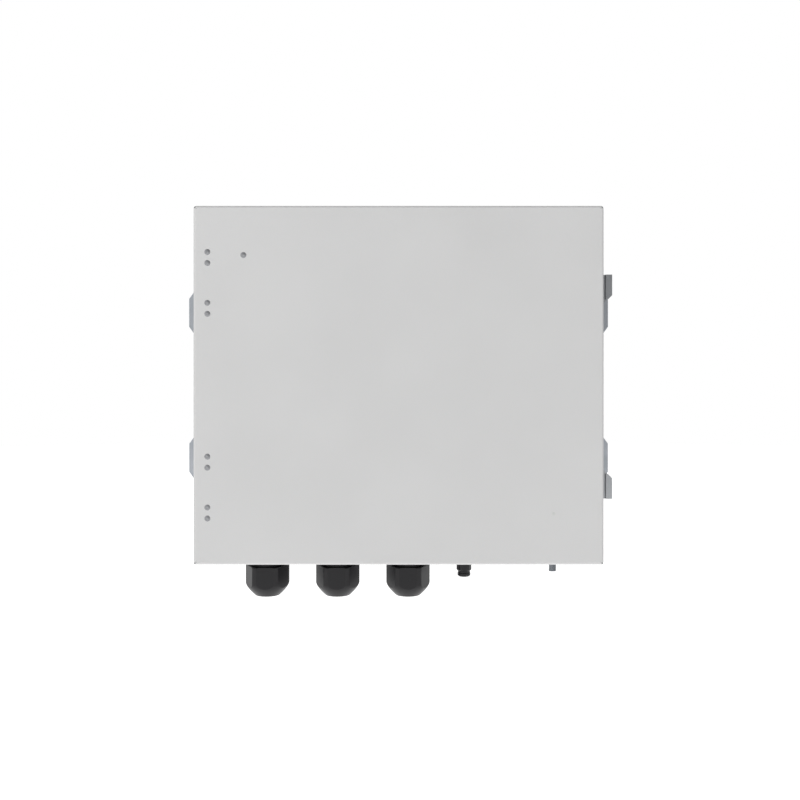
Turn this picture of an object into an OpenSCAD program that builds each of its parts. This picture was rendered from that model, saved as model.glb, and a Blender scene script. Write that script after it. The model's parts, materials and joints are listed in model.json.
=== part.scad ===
// DC combiner box: a wall-mounted sheet-steel enclosure that gathers three
// photovoltaic strings through fuses, a load-break switch and a surge arrester.
//
// Frame: X right, Z up, the door faces -Y. The origin is on the wall, in the
// middle of the four wall holes. Most parts are drawn in the front elevation
// (x right, y up, z out from the wall) and turned upright by facing().

/* [Enclosure] */
// Width of the door and of the body behind it
door_w = 400; // [380:1:520]
// Height of the door and of the body behind it
door_h = 350; // [330:1:460]
// Distance from the wall to the front of the door
case_d = 150; // [135:1:220]
// Thickness of the body and door sheet
sheet = 1.5; // [1:0.1:2]
// Outside radius of the folded edges
bend_r = 2.5; // [2.2:0.1:4]
// Depth of the door's folded flange
door_flange = 20; // [17:0.5:24]
// Gap between the door's flange and the body's front ledge
door_gap = 4; // [3.5:0.1:8]
// Width of the body's front ledge, from the outside to the sealing lip
ledge_w = 30; // [30:0.5:40]
// Width of the foam gasket inside the door
gasket_w = 10; // [6:0.5:14]
// Thickness of the foam gasket
gasket_t = 6.5; // [4:0.5:8]

/* [Wall rails] */
// Height of each wall rail
rail_h = 46; // [36:1:60]
// Thickness of the wall rails
rail_t = 3; // [2:0.5:5]
// How far a rail reaches past the side of the body
rail_reach = 35.7; // [25:0.1:60]
// Height of each rail's centre above or below the middle of the body
rail_z = 81.6; // [60:0.1:120]
// Diameter of the wall holes
wall_hole_d = 9; // [6:0.5:12]
// Distance from a wall hole's centre to the end of the rail
wall_hole_in = 12; // [9:0.5:16]

/* [Hinges] */
// Height of each hinge's centre above or below the middle of the door
hinge_z = 99.6; // [80:0.1:140]
// Distance of the hinge axis from the door's left edge
hinge_in = 8; // [8:0.1:9]
// Distance of the hinge axis behind the front of the door
hinge_back = 10; // [9.5:0.1:11]
// Diameter of the hinge pins
hinge_pin_d = 4; // [3:0.5:5]
// Height of the fixed hinge arm between the two door brackets
hinge_arm_h = 22; // [16:1:26]
// Distance between the two rivets of a hinge bracket
rivet_pitch = 10.7; // [9:0.1:14]
// Distance of the hinge rivets from the door's left edge
rivet_in = 13.85; // [13:0.05:16]
// Diameter of a rivet's head
rivet_head_d = 5.8; // [5:0.1:7]

/* [Latches] */
// Height of each latch's claw above or below the middle of the pair
latch_z = 99.8; // [80:0.1:130]
// Height of the middle of the latch pair above the middle of the door
latch_mid = -1.4; // [-10:0.1:10]
// Width of the claw
claw_w = 20.3; // [18:0.1:26]
// Height of the keeper's hook plate on the door
keeper_h = 28; // [24:0.5:36]
// How far the claw stands out from the side of the door
claw_out = 9.4; // [9:0.1:12]
// Distance of the claw's nose behind the front of the door
nose_back = 6.5; // [5:0.1:9]

/* [Cable glands] */
// Number of large glands
gland_count = 3; // [1:1:3]
// Sideways place of the first large gland
gland_x = -137.5; // [-150:0.5:-120]
// Distance between the large glands
gland_pitch = 73.7; // [56:0.1:80]
// Distance from the wall to the middle of the glands
gland_d = 75; // [55:1:90]
// Thread diameter of the large glands
gland_thread_d = 32; // [25:1:40]
// Size across the flats of the large glands
gland_af = 42; // [38:0.5:50]
// Largest diameter over the rounded corners of the cap nuts
gland_corner_d = 45.6; // [43:0.1:55]
// Diameter of the cable hole in the rubber insert
cable_d = 18; // [13:0.5:20]
// Length of a large gland below the body
gland_len = 44.5; // [40:0.5:55]
// Sideways place of the small signal gland
small_gland_x = 68.7; // [60:0.1:100]
// Thread diameter of the small gland
small_thread_d = 12; // [10:1:16]

/* [Earthing] */
// Sideways place of the earth stud
stud_x = 161.6; // [155:0.1:175]
// Diameter of the earth stud
stud_d = 8; // [6:1:10]
// Length of the earth stud below the body
stud_len = 20; // [16:0.5:30]

/* [Mounting plate] */
// Width of the mounting plate
plate_w = 330; // [310:1:330]
// Height of the mounting plate
plate_h = 280; // [260:1:282]
// Thickness of the mounting plate
plate_t = 2; // [1.5:0.5:3]
// Length of the spacers behind the mounting plate
spacer_len = 12; // [12:0.5:20]

/* [Switchgear] */
// Height of the DIN rail's centre
din_y = 40; // [20:1:50]
// Length of the DIN rail
din_len = 300; // [280:1:320]
// Number of strings, each with a two-pole fuse holder
strings = 3; // [1:1:3]
// Width of one two-pole fuse holder
fuse_w = 36; // [34:0.5:36]
// Left side of the first fuse holder
fuse_left = -132; // [-135:1:-130]
// Diameter of a fuse link
fuse_d = 10.3; // [8:0.1:11]
// Length of a fuse link
fuse_len = 38; // [32:1:38]
// Sideways place of the load-break switch
switch_x = 34; // [32:1:36]
// Sideways place of the surge arrester
surge_x = 98; // [96:1:102]
// Diameter of the power wires over their insulation
wire_d = 6; // [4:0.5:6]

/* [Hidden] */
$fn = 64;

// Colours of the finishes
PAINT = "#CECECC";
ZINC = "#A9ADB3";
STEEL = "#9A9DA1";
BLACK = "#3A393D";
RUBBER = "#242426";
GREY = "#8E9094";
LIGHT = "#D9DAD6";
COPPER = "#B8734A";
BRASS = "#B99A55";

// Running clearance of a pin in its hole, on the radius
run_fit = 0.05;
// Clearance of a screw in its hole, on the radius
screw_fit = 0.3;
// Side clearance between parts that slide or turn past each other
side_gap = 0.5;
// A little extra length for cuts
eps = 0.5;

// Depth places, measured out from the wall
back_in = rail_t + sheet;
ledge_d = case_d - door_flange - door_gap;
skin_in = case_d - sheet;
lip_gap = 0.4;
lip_d = skin_in - gasket_t - lip_gap;
flange_d = case_d - door_flange;
spacer_end = back_in + spacer_len;
plate_front = spacer_end + plate_t;

// Sideways and upward places
side = door_w / 2;
foot = door_h / 2;
hinge_x = -side + hinge_in;
hinge_d = case_d - hinge_back;

// Turns the front elevation upright: x right, y up, z out from the wall
module facing() rotate([90, 0, 0]) children();

// Puts things on the mounting plate, z counted from the plate
module on_plate(x, y) translate([x, y, plate_front]) children();

// Puts things under the body, z counted downwards from its underside
module under(x, d) translate([x, -foot, d]) rotate([90, 0, 0]) children();

// A rectangle with round corners, centred
module rounded(w, h, r) {
    square([w - 2 * r, h], center = true);
    square([w, h - 2 * r], center = true);
    for (x = [-1, 1], y = [-1, 1])
        translate([x * (w / 2 - r), y * (h / 2 - r)]) circle(r);
}

// A plate with round corners, between two depths
module slab(w, h, r, low, high)
    translate([0, 0, low]) linear_extrude(high - low) rounded(w, h, r);

// A block given by its lowest and highest corners
module block(low, high) translate(low) cube(high - low);

// A cylinder along x, centred on x = 0
module across(r, len) rotate([0, 90, 0]) cylinder(r = r, h = len, center = true);

// A cylinder along y, from one height to another
module along_y(r, low, high)
    translate([0, low, 0]) rotate([-90, 0, 0]) cylinder(r = r, h = high - low);

// A hexagon nut standing on z = 0, with the edges of its corners turned off
module hex_nut(af, h, hole_r) {
    corner = af / sqrt(3);
    edge = corner - af / 2;
    difference() {
        intersection() {
            cylinder(r = corner, h = h, $fn = 6);
            union() {
                cylinder(r1 = af / 2, r2 = corner, h = edge / 2);
                translate([0, 0, edge / 2]) cylinder(r = corner, h = h - edge);
                translate([0, 0, h - edge / 2])
                    cylinder(r1 = corner, r2 = af / 2, h = edge / 2);
            }
        }
        translate([0, 0, -eps]) cylinder(r = hole_r, h = h + 2 * eps);
    }
}

// A flat washer standing on z = 0
module washer(r, h, hole_r) difference() {
    cylinder(r = r, h = h);
    translate([0, 0, -eps]) cylinder(r = hole_r, h = h + 2 * eps);
}

// A pan-head screw with a cross recess: the head stands on z = 0
module pan_screw(r, head_r, head_h, len) difference() {
    union() {
        cylinder(r = head_r, h = head_h * 0.6);
        translate([0, 0, head_h * 0.6])
            cylinder(r1 = head_r, r2 = head_r * 0.7, h = head_h * 0.4);
        translate([0, 0, -len]) cylinder(r = r, h = len);
    }
    for (turn = [0, 90]) rotate(turn)
        translate([0, 0, head_h]) cube([head_r, head_r / 4, head_h], center = true);
}

// A wire through points joined by square bends of one radius
function direction(a, b) = (b - a) / norm(b - a);
module wire_elbow(corner, a, b, r, bend) {
    c = cross(a, b);
    place = corner - a * bend + b * bend;
    multmatrix([
        [-b[0], a[0], c[0], place[0]],
        [-b[1], a[1], c[1], place[1]],
        [-b[2], a[2], c[2], place[2]],
        [0, 0, 0, 1]
    ]) rotate_extrude(angle = 90) translate([bend, 0]) circle(r);
}
module wire_run(a, b, r) {
    v = direction(a, b);
    up = abs(v[2]) > 0.5 ? [v[2] > 0 ? 0 : 180, 0, 0]
        : abs(v[0]) > 0.5 ? [0, 90 * v[0], 0]
        : [-90 * v[1], 0, 0];
    translate(a) rotate(up) cylinder(r = r, h = norm(b - a));
}
module wire(points, r, bend) {
    last = len(points) - 1;
    for (i = [0 : last - 1]) {
        v = direction(points[i], points[i + 1]);
        wire_run(
            points[i] + v * (i > 0 ? bend : 0),
            points[i + 1] - v * (i < last - 1 ? bend : 0), r);
    }
    if (last > 1) for (i = [1 : last - 1])
        wire_elbow(points[i], direction(points[i - 1], points[i]),
            direction(points[i], points[i + 1]), r, bend);
}

// ---- Enclosure body: folded and welded sheet steel ----
lip_r = 5;
small_head_r = 3.5;
small_screw_r = 2;
m6 = 3;
rail_stud_x = 150;
plate_stud_x = 150;
plate_stud_y = 125;
nut_af = 10;
nut_h = 5;
washer_h = 1.6;
washer_r = 6;
small_thread_r = small_thread_d / 2;

module body_shell() difference() {
    slab(door_w, door_h, bend_r, rail_t, ledge_d);
    slab(door_w - 2 * sheet, door_h - 2 * sheet, bend_r - sheet, back_in, ledge_d - sheet);
    slab(door_w - 2 * ledge_w - 2 * sheet, door_h - 2 * ledge_w - 2 * sheet,
        lip_r - sheet, ledge_d - 2 * sheet, ledge_d + sheet);
}
module sealing_lip() difference() {
    slab(door_w - 2 * ledge_w, door_h - 2 * ledge_w, lip_r, ledge_d - sheet, lip_d);
    slab(door_w - 2 * ledge_w - 2 * sheet, door_h - 2 * ledge_w - 2 * sheet,
        lip_r - sheet, ledge_d - 2 * sheet, lip_d + eps);
}
module enclosure_body() color(PAINT) facing() difference() {
    union() {
        body_shell();
        sealing_lip();
    }
    for (x = [-1, 1], y = [-1, 1])
        translate([x * rail_stud_x, y * rail_z, 0])
            cylinder(r = m6 + screw_fit, h = back_in + eps);
    for (i = [0 : gland_count - 1])
        under(gland_x + i * gland_pitch, gland_d) translate([0, 0, -2 * sheet])
            cylinder(r = gland_thread_d / 2 + screw_fit, h = 3 * sheet);
    under(small_gland_x, gland_d) translate([0, 0, -2 * sheet])
        cylinder(r = small_thread_r + screw_fit, h = 3 * sheet);
    under(stud_x, gland_d) translate([0, 0, -2 * sheet])
        cylinder(r = stud_d / 2 + screw_fit, h = 3 * sheet);
    for (s = [-1, 1], y = arm_screw_y)
        translate([arm_screw_x, s * hinge_z + y, ledge_d - 2 * sheet])
            cylinder(r = small_screw_r + screw_fit, h = 3 * sheet);
    for (c = latch_centres, v = latch_screw_back)
        translate([side - 2 * sheet, c, case_d - v]) rotate([0, 90, 0])
            cylinder(r = small_screw_r + screw_fit, h = 3 * sheet);
}

// ---- Wall rails: flat steel straps with welded studs ----
rail_half = side + rail_reach;
rail_bevel_x = 5.15;
rail_bevel_y = 7.25;
stud_past_nut = 2;
rail_stud_end = back_in + washer_h + nut_h + stud_past_nut;
module wall_rail(y) color(ZINC) facing() translate([0, y, 0]) {
    difference() {
        linear_extrude(rail_t) polygon([
            for (s = [[1, 1], [-1, 1], [-1, -1], [1, -1]], k = s[0] * s[1] > 0 ? [0, 1] : [1, 0])
                [s[0] * (rail_half - k * rail_bevel_x),
                 s[1] * (rail_h / 2 - (1 - k) * rail_bevel_y)]
        ]);
        for (s = [-1, 1]) translate([s * (rail_half - wall_hole_in), 0, -eps])
            cylinder(d = wall_hole_d, h = rail_t + 2 * eps);
    }
    for (s = [-1, 1]) translate([s * rail_stud_x, 0, rail_t])
        cylinder(r = m6, h = rail_stud_end - rail_t);
}
module wall_rail_upper() wall_rail(rail_z);
module wall_rail_lower() wall_rail(-rail_z);

// ---- M6 nuts and washers on the rail studs and the mounting plate ----
module nut_and_washer() {
    washer(washer_r, washer_h, m6);
    translate([0, 0, washer_h]) hex_nut(nut_af, nut_h, m6);
}
module frame_nuts() color(ZINC) facing() for (x = [-1, 1], y = [-1, 1]) {
    translate([x * rail_stud_x, y * rail_z, back_in]) nut_and_washer();
    translate([x * plate_stud_x, y * plate_stud_y, plate_front]) nut_and_washer();
}

// ---- Mounting plate on four spacers ----
rail_screw_in = 10;
din_screw_far = din_len / 2 - rail_screw_in;
din_screw_x = [-din_screw_far, 0, din_screw_far];
duct_left = -155;
duct_right = 60;
duct_y = -52;
duct_h = 40;
duct_depth = 40;
duct_wall = 1.5;
duct_screw_in = 25;
duct_screw_x = [duct_left + duct_screw_in, duct_right - duct_screw_in];
m5 = 2.5;
plate_screw_len = 5;
plate_corner_r = 5;
// A spacer is solid: its hole is closed by the stud
closed = 0.01;
module mounting_plate() color(ZINC) facing() difference() {
    slab(plate_w, plate_h, plate_corner_r, spacer_end, plate_front);
    for (x = [-1, 1], y = [-1, 1]) translate([x * plate_stud_x, y * plate_stud_y, 0])
        cylinder(r = m6 + screw_fit, h = case_d);
    for (x = din_screw_x) translate([x, din_y, 0]) cylinder(r = m5, h = case_d);
    for (x = duct_screw_x) translate([x, duct_y, 0]) cylinder(r = m5, h = case_d);
}
module plate_spacers() color(ZINC) facing() for (x = [-1, 1], y = [-1, 1])
    translate([x * plate_stud_x, y * plate_stud_y, back_in]) {
        hex_nut(nut_af, spacer_len, closed);
        cylinder(r = m6, h = plate_front - back_in + washer_h + nut_h + stud_past_nut);
    }

// ---- DIN rail: top-hat section 35 x 7.5 ----
din_w = 35;
din_base = 27;
din_h = 7.5;
din_t = 1;
module din_rail() color(ZINC) facing() on_plate(0, din_y) difference() {
    rotate([90, 0, 90]) linear_extrude(din_len, center = true) {
        translate([-din_base / 2, 0]) square([din_base, din_t]);
        for (s = [0, 1]) mirror([s, 0]) {
            translate([din_base / 2 - din_t, 0]) square([din_t, din_h]);
            translate([din_base / 2 - din_t, din_h - din_t])
                square([(din_w - din_base) / 2 + din_t, din_t]);
        }
    }
    for (x = din_screw_x) translate([x, 0, -eps]) cylinder(r = m5, h = din_h);
}

// ---- M5 screws: DIN rail, cable duct and the busbar feeds ----
screw_head_r = 4.5;
screw_head_h = 3;
module plate_screws() color(ZINC) facing() {
    for (x = din_screw_x) on_plate(x, din_y) translate([0, 0, din_t])
        pan_screw(m5, screw_head_r, screw_head_h, plate_screw_len);
    for (x = duct_screw_x) on_plate(x, duct_y) translate([0, 0, duct_wall])
        pan_screw(m5, screw_head_r, screw_head_h, plate_screw_len);
    translate([bar_right - lug_in, lug_y, wire_out + lug_t / 2])
        pan_screw(m5, screw_head_r, screw_head_h, plate_screw_len);
    translate([bar_left + lug_in, lug_y, wire_out + lug_t / 2 + bar_t])
        pan_screw(m5, screw_head_r, screw_head_h, plate_screw_len);
}

// ---- Slotted cable duct and its snap-on cover ----
duct_pitch = 12.5;
duct_slot = 6;
duct_slot_in = 8;
duct_rim = 5;
module cable_duct() color(LIGHT) facing() on_plate(0, duct_y) difference() {
    block([duct_left, -duct_h / 2, 0], [duct_right, duct_h / 2, duct_depth]);
    block([duct_left - eps, -duct_h / 2 + duct_wall, duct_wall],
        [duct_right + eps, duct_h / 2 - duct_wall, duct_depth + eps]);
    for (x = [duct_left + duct_slot_in : duct_pitch : duct_right - duct_pitch])
        block([x, -duct_h, duct_depth / 3], [x + duct_slot, duct_h, duct_depth - duct_rim]);
    for (x = duct_screw_x) translate([x, 0, -eps]) cylinder(r = m5, h = duct_depth);
}
module duct_cover() color(LIGHT) facing() on_plate(0, duct_y) difference() {
    block([duct_left, -duct_h / 2 - duct_wall, duct_depth - duct_rim],
        [duct_right, duct_h / 2 + duct_wall, duct_depth + duct_wall]);
    block([duct_left - eps, -duct_h / 2, duct_depth - duct_rim - eps],
        [duct_right + eps, duct_h / 2, duct_depth]);
}

// ---- Door: a folded tray with open corners ----
corner_cut = 2.3;
relief_r = 1;
bracket_t = 2;
bracket_h = 22.5;
skin_w = door_w - 2 * bend_r;
skin_h = door_h - 2 * bend_r;
pocket_pin_x = 151.1;
pocket_pin_y = -125;
pocket_rivet_y = 126.7;
pin_r = 1.5;
hinge_rivet_y = [for (s = [-1, 1], b = [-1, 1], k = [-1, 1])
    s * hinge_z + b * (hinge_arm_h / 2 + side_gap + bracket_t + bracket_h / 2)
        + k * rivet_pitch / 2];
rivet_r = 1.6;
keeper_rivet_y = 9;
keeper_rivet_back = 15;

// Section of one folded edge: the outside face is on x = 0
module fold_section() {
    translate([0, flange_d]) square([sheet, door_flange - bend_r]);
    difference() {
        intersection() {
            translate([bend_r, case_d - bend_r]) circle(bend_r);
            translate([0, case_d - bend_r]) square(bend_r);
        }
        translate([bend_r, case_d - bend_r]) circle(bend_r - sheet);
    }
}
module folded_edge(half, len) translate([-half, 0, 0]) rotate([90, 0, 0])
    linear_extrude(len - 2 * corner_cut, center = true) fold_section();

module door_panel() color(PAINT) facing() difference() {
    union() {
        difference() {
            translate([-skin_w / 2, -skin_h / 2, skin_in]) cube([skin_w, skin_h, sheet]);
            for (x = [-1, 1], y = [-1, 1])
                translate([x * (side - corner_cut), y * (foot - corner_cut), skin_in - eps])
                    cylinder(r = relief_r, h = sheet + 2 * eps);
        }
        for (turn = [0, 180]) rotate(turn) folded_edge(side, door_h);
        for (turn = [90, 270]) rotate(turn) folded_edge(foot, door_w);
    }
    for (y = hinge_rivet_y) translate([-side + rivet_in, y, skin_in - eps])
        cylinder(r = rivet_r, h = sheet + 2 * eps);
    translate([-pocket_pin_x, pocket_rivet_y, skin_in - eps])
        cylinder(r = rivet_r, h = sheet + 2 * eps);
    translate([pocket_pin_x, pocket_pin_y, skin_in - eps])
        cylinder(r = pin_r, h = sheet + 2 * eps);
    for (c = keeper_centres, k = [-1, 1])
        translate([side - sheet - eps, c + k * keeper_rivet_y, case_d - keeper_rivet_back])
            rotate([0, 90, 0]) cylinder(r = rivet_r, h = sheet + 2 * eps);
}
module door_gasket() color(RUBBER) facing() difference() {
    slab(door_w - 2 * ledge_w - sheet + gasket_w, door_h - 2 * ledge_w - sheet + gasket_w,
        lip_r + gasket_w / 2, skin_in - gasket_t, skin_in);
    slab(door_w - 2 * ledge_w - sheet - gasket_w, door_h - 2 * ledge_w - sheet - gasket_w,
        lip_r - gasket_w / 5, skin_in - gasket_t - eps, skin_in + eps);
}

// Blind rivet: its head stands on z = 0, the shank goes down through a stack
head_h = 1;
mandrel_r = 0.9;
tail_h = 2;
tail_swell = 1.4;
module blind_rivet(stack) difference() {
    union() {
        intersection() {
            head_ball = (pow(rivet_head_d / 2, 2) + head_h * head_h) / (2 * head_h);
            translate([0, 0, head_h - head_ball]) sphere(head_ball);
            cylinder(r = rivet_head_d, h = 2 * head_h);
        }
        translate([0, 0, -stack]) cylinder(r = rivet_r, h = stack + head_h / 5);
        translate([0, 0, -stack - tail_h]) cylinder(r = rivet_r * tail_swell, h = tail_h);
    }
    translate([0, 0, head_h / 2]) cylinder(r = mandrel_r, h = head_h);
}
module door_rivets() color(ZINC) facing() {
    for (y = hinge_rivet_y) translate([-side + rivet_in, y, case_d])
        blind_rivet(sheet + bracket_t);
    translate([-pocket_pin_x, pocket_rivet_y, case_d]) blind_rivet(sheet + pocket_t);
    for (c = keeper_centres, k = [-1, 1])
        translate([side + keeper_t, c + k * keeper_rivet_y, case_d - keeper_rivet_back])
            rotate([0, 90, 0]) blind_rivet(sheet + keeper_t);
}

// ---- Hinges: two riveted brackets, a pin and a swan-neck arm each ----
bracket_w = 10;
knuckle_r = hinge_pin_d / 2 + bracket_t;
arm_t = 3;
arm_leg_x = 21.5;
arm_foot_x = 15.5;
arm_screw_x = -side + arm_foot_x + arm_t;
arm_screw_y = [-6, 6];
pin_end = hinge_arm_h / 2 + side_gap + bracket_t;
pin_tail = 1;
pin_head_h = 1.2;

module hinge_bracket() {
    ear_y = hinge_arm_h / 2 + side_gap;
    difference() {
        union() {
            block([-side + rivet_in - bracket_w / 2, ear_y, skin_in - bracket_t],
                [-side + rivet_in + bracket_w / 2, ear_y + bracket_t + bracket_h, skin_in]);
            translate([hinge_x, ear_y + bracket_t, hinge_d]) rotate([90, 0, 0])
                cylinder(r = knuckle_r, h = bracket_t);
            block([hinge_x - knuckle_r, ear_y, hinge_d],
                [-side + rivet_in + bracket_w / 2, ear_y + bracket_t, skin_in]);
        }
        translate([hinge_x, 0, hinge_d])
            along_y(hinge_pin_d / 2, ear_y - eps, ear_y + bracket_t + eps);
        for (k = [-1, 1])
            translate([-side + rivet_in,
                ear_y + bracket_t + bracket_h / 2 + k * rivet_pitch / 2, skin_in - bracket_t - eps])
                cylinder(r = rivet_r, h = bracket_t + 2 * eps);
    }
}
module hinge_brackets() color(ZINC) facing()
    for (s = [-1, 1], m = [0, 1]) translate([0, s * hinge_z, 0])
        mirror([0, m, 0]) hinge_bracket();

module hinge_pins() color(STEEL) facing() for (s = [-1, 1])
    translate([hinge_x, s * hinge_z, hinge_d]) {
        along_y(hinge_pin_d / 2, -pin_end - pin_tail, pin_end);
        along_y(hinge_pin_d / 2 + pin_tail, pin_end, pin_end + pin_head_h);
    }

module hinge_arm() difference() {
    union() {
        along = hinge_arm_h / 2;
        translate([hinge_x, 0, hinge_d]) along_y(knuckle_r, -along, along);
        block([hinge_x, -along, hinge_d + knuckle_r - arm_t],
            [-side + arm_leg_x + arm_t, along, hinge_d + knuckle_r]);
        block([-side + arm_leg_x, -along, ledge_d],
            [-side + arm_leg_x + arm_t, along, hinge_d + knuckle_r]);
        block([-side + arm_foot_x, -along, ledge_d],
            [-side + arm_leg_x + arm_t, along, ledge_d + arm_t]);
    }
    translate([hinge_x, 0, hinge_d])
        along_y(hinge_pin_d / 2 + run_fit, -hinge_arm_h, hinge_arm_h);
    for (y = arm_screw_y) translate([arm_screw_x, y, ledge_d - eps])
        cylinder(r = small_screw_r, h = arm_t + 2 * eps);
}
module hinge_arms() color(ZINC) facing()
    for (s = [-1, 1]) translate([0, s * hinge_z, 0]) hinge_arm();

// ---- M4 screws: hinge arms from inside the ledge, latch bases from outside ----
small_head_h = 1.6;
module body_screws() color(ZINC) facing() {
    for (s = [-1, 1], y = arm_screw_y)
        translate([arm_screw_x, s * hinge_z + y, ledge_d - sheet]) mirror([0, 0, 1])
            pan_screw(small_screw_r, small_head_r, small_head_h, sheet + arm_t);
    for (c = latch_centres, v = latch_screw_back)
        translate([side + base_t, c, case_d - v]) rotate([0, 90, 0])
            pan_screw(small_screw_r, small_head_r, small_head_h, sheet + arm_t);
}

// ---- Latches: over-centre claw latches on the right side ----
// Drawn in a section: x outwards from the side, y backwards from the door's face
base_t = 1.5;
base_half = 12;
base_front = 27;
base_rear = 62;
pivot_out = 5;
pivot_back = 40;
link_out = 4.1;
link_back = 47.5;
latch_pin_r = 1.25;
boss_r = 2.2;
boss_rim = 0.4;
plate_in = 1.8;
arm_side = 1.5;
cheek_t = 1.2;
cheek_out = claw_w / 2 - arm_side - side_gap;
ear_out = cheek_out - cheek_t - side_gap;
ear_t = 1.5;
latch_screw_back = [31.5, 57];
latch_centres = [latch_mid + latch_z, latch_mid - latch_z];
keeper_t = 1.5;
hook_out = 5.5;
hook_gap = 0.7;
hook_back = nose_back + plate_in + hook_gap;
keeper_leg = 12;
keeper_foot = 1.6;
keeper_centres = [for (s = [1, -1])
    latch_mid + s * (latch_z + claw_w / 2 - keeper_h / 2)];
plate_rear = 28;
claw_bend = 6;
nose_in = 3.2;
claw_arm = claw_out - plate_in - 2;

// Places a latch section on the side of the body; s is 1 above and -1 below
module on_side(y) translate([side, y, case_d]) rotate([-90, 0, 0]) children();
module section(low, high) translate([0, 0, low]) linear_extrude(high - low) children();

module latch_base(y) on_side(y) difference() {
    union() {
        block([0, base_front, -base_half], [base_t, base_rear, base_half]);
        for (m = [0, 1]) mirror([0, 0, m]) section(ear_out - ear_t, ear_out) {
            translate([pivot_out, pivot_back]) circle(boss_r + boss_rim);
            translate([0, pivot_back - boss_r - boss_rim])
                square([pivot_out, 2 * (boss_r + boss_rim)]);
        }
    }
    translate([pivot_out, pivot_back, -claw_w]) cylinder(r = latch_pin_r, h = 2 * claw_w);
    for (v = latch_screw_back) translate([-eps, v, 0]) rotate([0, 90, 0])
        cylinder(r = small_screw_r + screw_fit, h = base_t + 2 * eps);
}
module latch_bases() color(ZINC) facing() for (y = latch_centres) latch_base(y);

module latch_pins() color(STEEL) facing() for (y = latch_centres)
    on_side(y) translate([pivot_out, pivot_back, 0])
        cylinder(r = latch_pin_r, h = 2 * cheek_out, center = true);

lever_rear = 92;
lever_top = 9.8;
lever_low = 2.8;
grip_out = 12.5;
grip_start = link_back + 11;
lever_taper = 6;
module cheek_outline() {
    translate([pivot_out, pivot_back]) circle(boss_r);
    translate([link_out, link_back]) circle(boss_r);
    polygon([
        [lever_low, pivot_back], [pivot_out + boss_r, pivot_back],
        [pivot_out + boss_r, link_back + boss_r], [lever_top, grip_start],
        [lever_top, lever_rear], [lever_low, lever_rear - lever_taper]
    ]);
}
module latch_lever(y) color(ZINC) facing() on_side(y) difference() {
    union() {
        for (m = [0, 1]) mirror([0, 0, m])
            section(cheek_out - cheek_t, cheek_out) cheek_outline();
        block([lever_top - cheek_t, grip_start + 2, -cheek_out],
            [lever_top, lever_rear, cheek_out]);
        block([lever_top - cheek_t, lever_rear - cheek_t, -cheek_out],
            [grip_out, lever_rear, cheek_out]);
        translate([link_out, link_back, 0])
            cylinder(r = latch_pin_r, h = claw_w + side_gap, center = true);
    }
    translate([pivot_out, pivot_back, -claw_w])
        cylinder(r = latch_pin_r + run_fit, h = 2 * claw_w);
}
module latch_lever_upper() latch_lever(latch_centres[0]);
module latch_lever_lower() latch_lever(latch_centres[1]);

// The claw's chamfered corner points to the middle of the door: s is 1 above
module latch_claw(y, s) color(ZINC) facing() on_side(y) difference() {
    half = claw_w / 2;
    union() {
        for (m = [0, 1]) mirror([0, 0, m]) section(half - arm_side, half) {
            translate([link_out, link_back]) circle(boss_r);
            polygon([
                [link_out - boss_r, link_back], [claw_arm, plate_rear + claw_bend],
                [claw_arm, nose_back + claw_bend], [claw_out, nose_back + claw_bend],
                [claw_out, plate_rear + claw_bend], [link_out + boss_r, link_back]
            ]);
        }
        block([claw_out - plate_in, nose_back, -half], [claw_out, plate_rear, half]);
        translate([0, nose_back, 0]) rotate([-90, 0, 0]) linear_extrude(plate_in)
            polygon([
                [nose_in, -s * half], [claw_out, -s * half], [claw_out, s * half],
                [hook_out, s * (half + claw_out - hook_out)],
                [nose_in, s * (half + claw_out - hook_out)]
            ]);
    }
    translate([link_out, link_back, -claw_w])
        cylinder(r = latch_pin_r + run_fit, h = 2 * claw_w);
}
module latch_claw_upper() latch_claw(latch_centres[0], 1);
module latch_claw_lower() latch_claw(latch_centres[1], -1);

// Keeper on the door's flange: a hook plate with one chamfered corner
module keeper(y, s) translate([side, y, case_d]) difference() {
    union() {
        block([0, -keeper_h / 2, -hook_back - keeper_leg],
            [keeper_t, keeper_h / 2, -hook_back]);
        translate([0, 0, -hook_back - keeper_t]) linear_extrude(keeper_t)
            polygon([
                [0, -s * keeper_h / 2], [keeper_foot, -s * keeper_h / 2],
                [hook_out, -s * (keeper_h / 2 - hook_out + keeper_foot)],
                [hook_out, s * keeper_h / 2], [0, s * keeper_h / 2]
            ]);
    }
    for (k = [-1, 1]) translate([-eps, k * keeper_rivet_y, -keeper_rivet_back])
        rotate([0, 90, 0]) cylinder(r = rivet_r, h = keeper_t + 2 * eps);
}
module keepers() color(ZINC) facing() {
    keeper(keeper_centres[0], 1);
    keeper(keeper_centres[1], -1);
}

// ---- Large cable glands: body, cap nut, rubber insert and locknut ----
gland_hex_h = 11;
gland_stem = 13;
cap_start = 13;
cap_len = gland_len - cap_start;
cap_edge = 0.8;
cap_mouth_r = 12.8;
dome_len = 13.2;
dome_steps = 8;
// Swell of the dome: 1 is a straight cone
dome_swell = 1.5;
dome = [for (i = [0 : dome_steps]) [
    gland_corner_d / 2 - (gland_corner_d / 2 - cap_mouth_r) * pow(i / dome_steps, dome_swell),
    gland_len - dome_len * (1 - i / dome_steps)]];
cap_thread_r = gland_thread_d / 2 + 1;
cap_thread_len = 10;
seal_start = 10;
seal_gap = 0.1;
insert_r = cable_d / 2 + 3.4;
mouth_r = cable_d / 2 + 2.4;
seat_z = gland_len - 6.5;
lock_h = 7;
gland_places = [for (i = [0 : gland_count - 1]) gland_x + i * gland_pitch];

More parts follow.
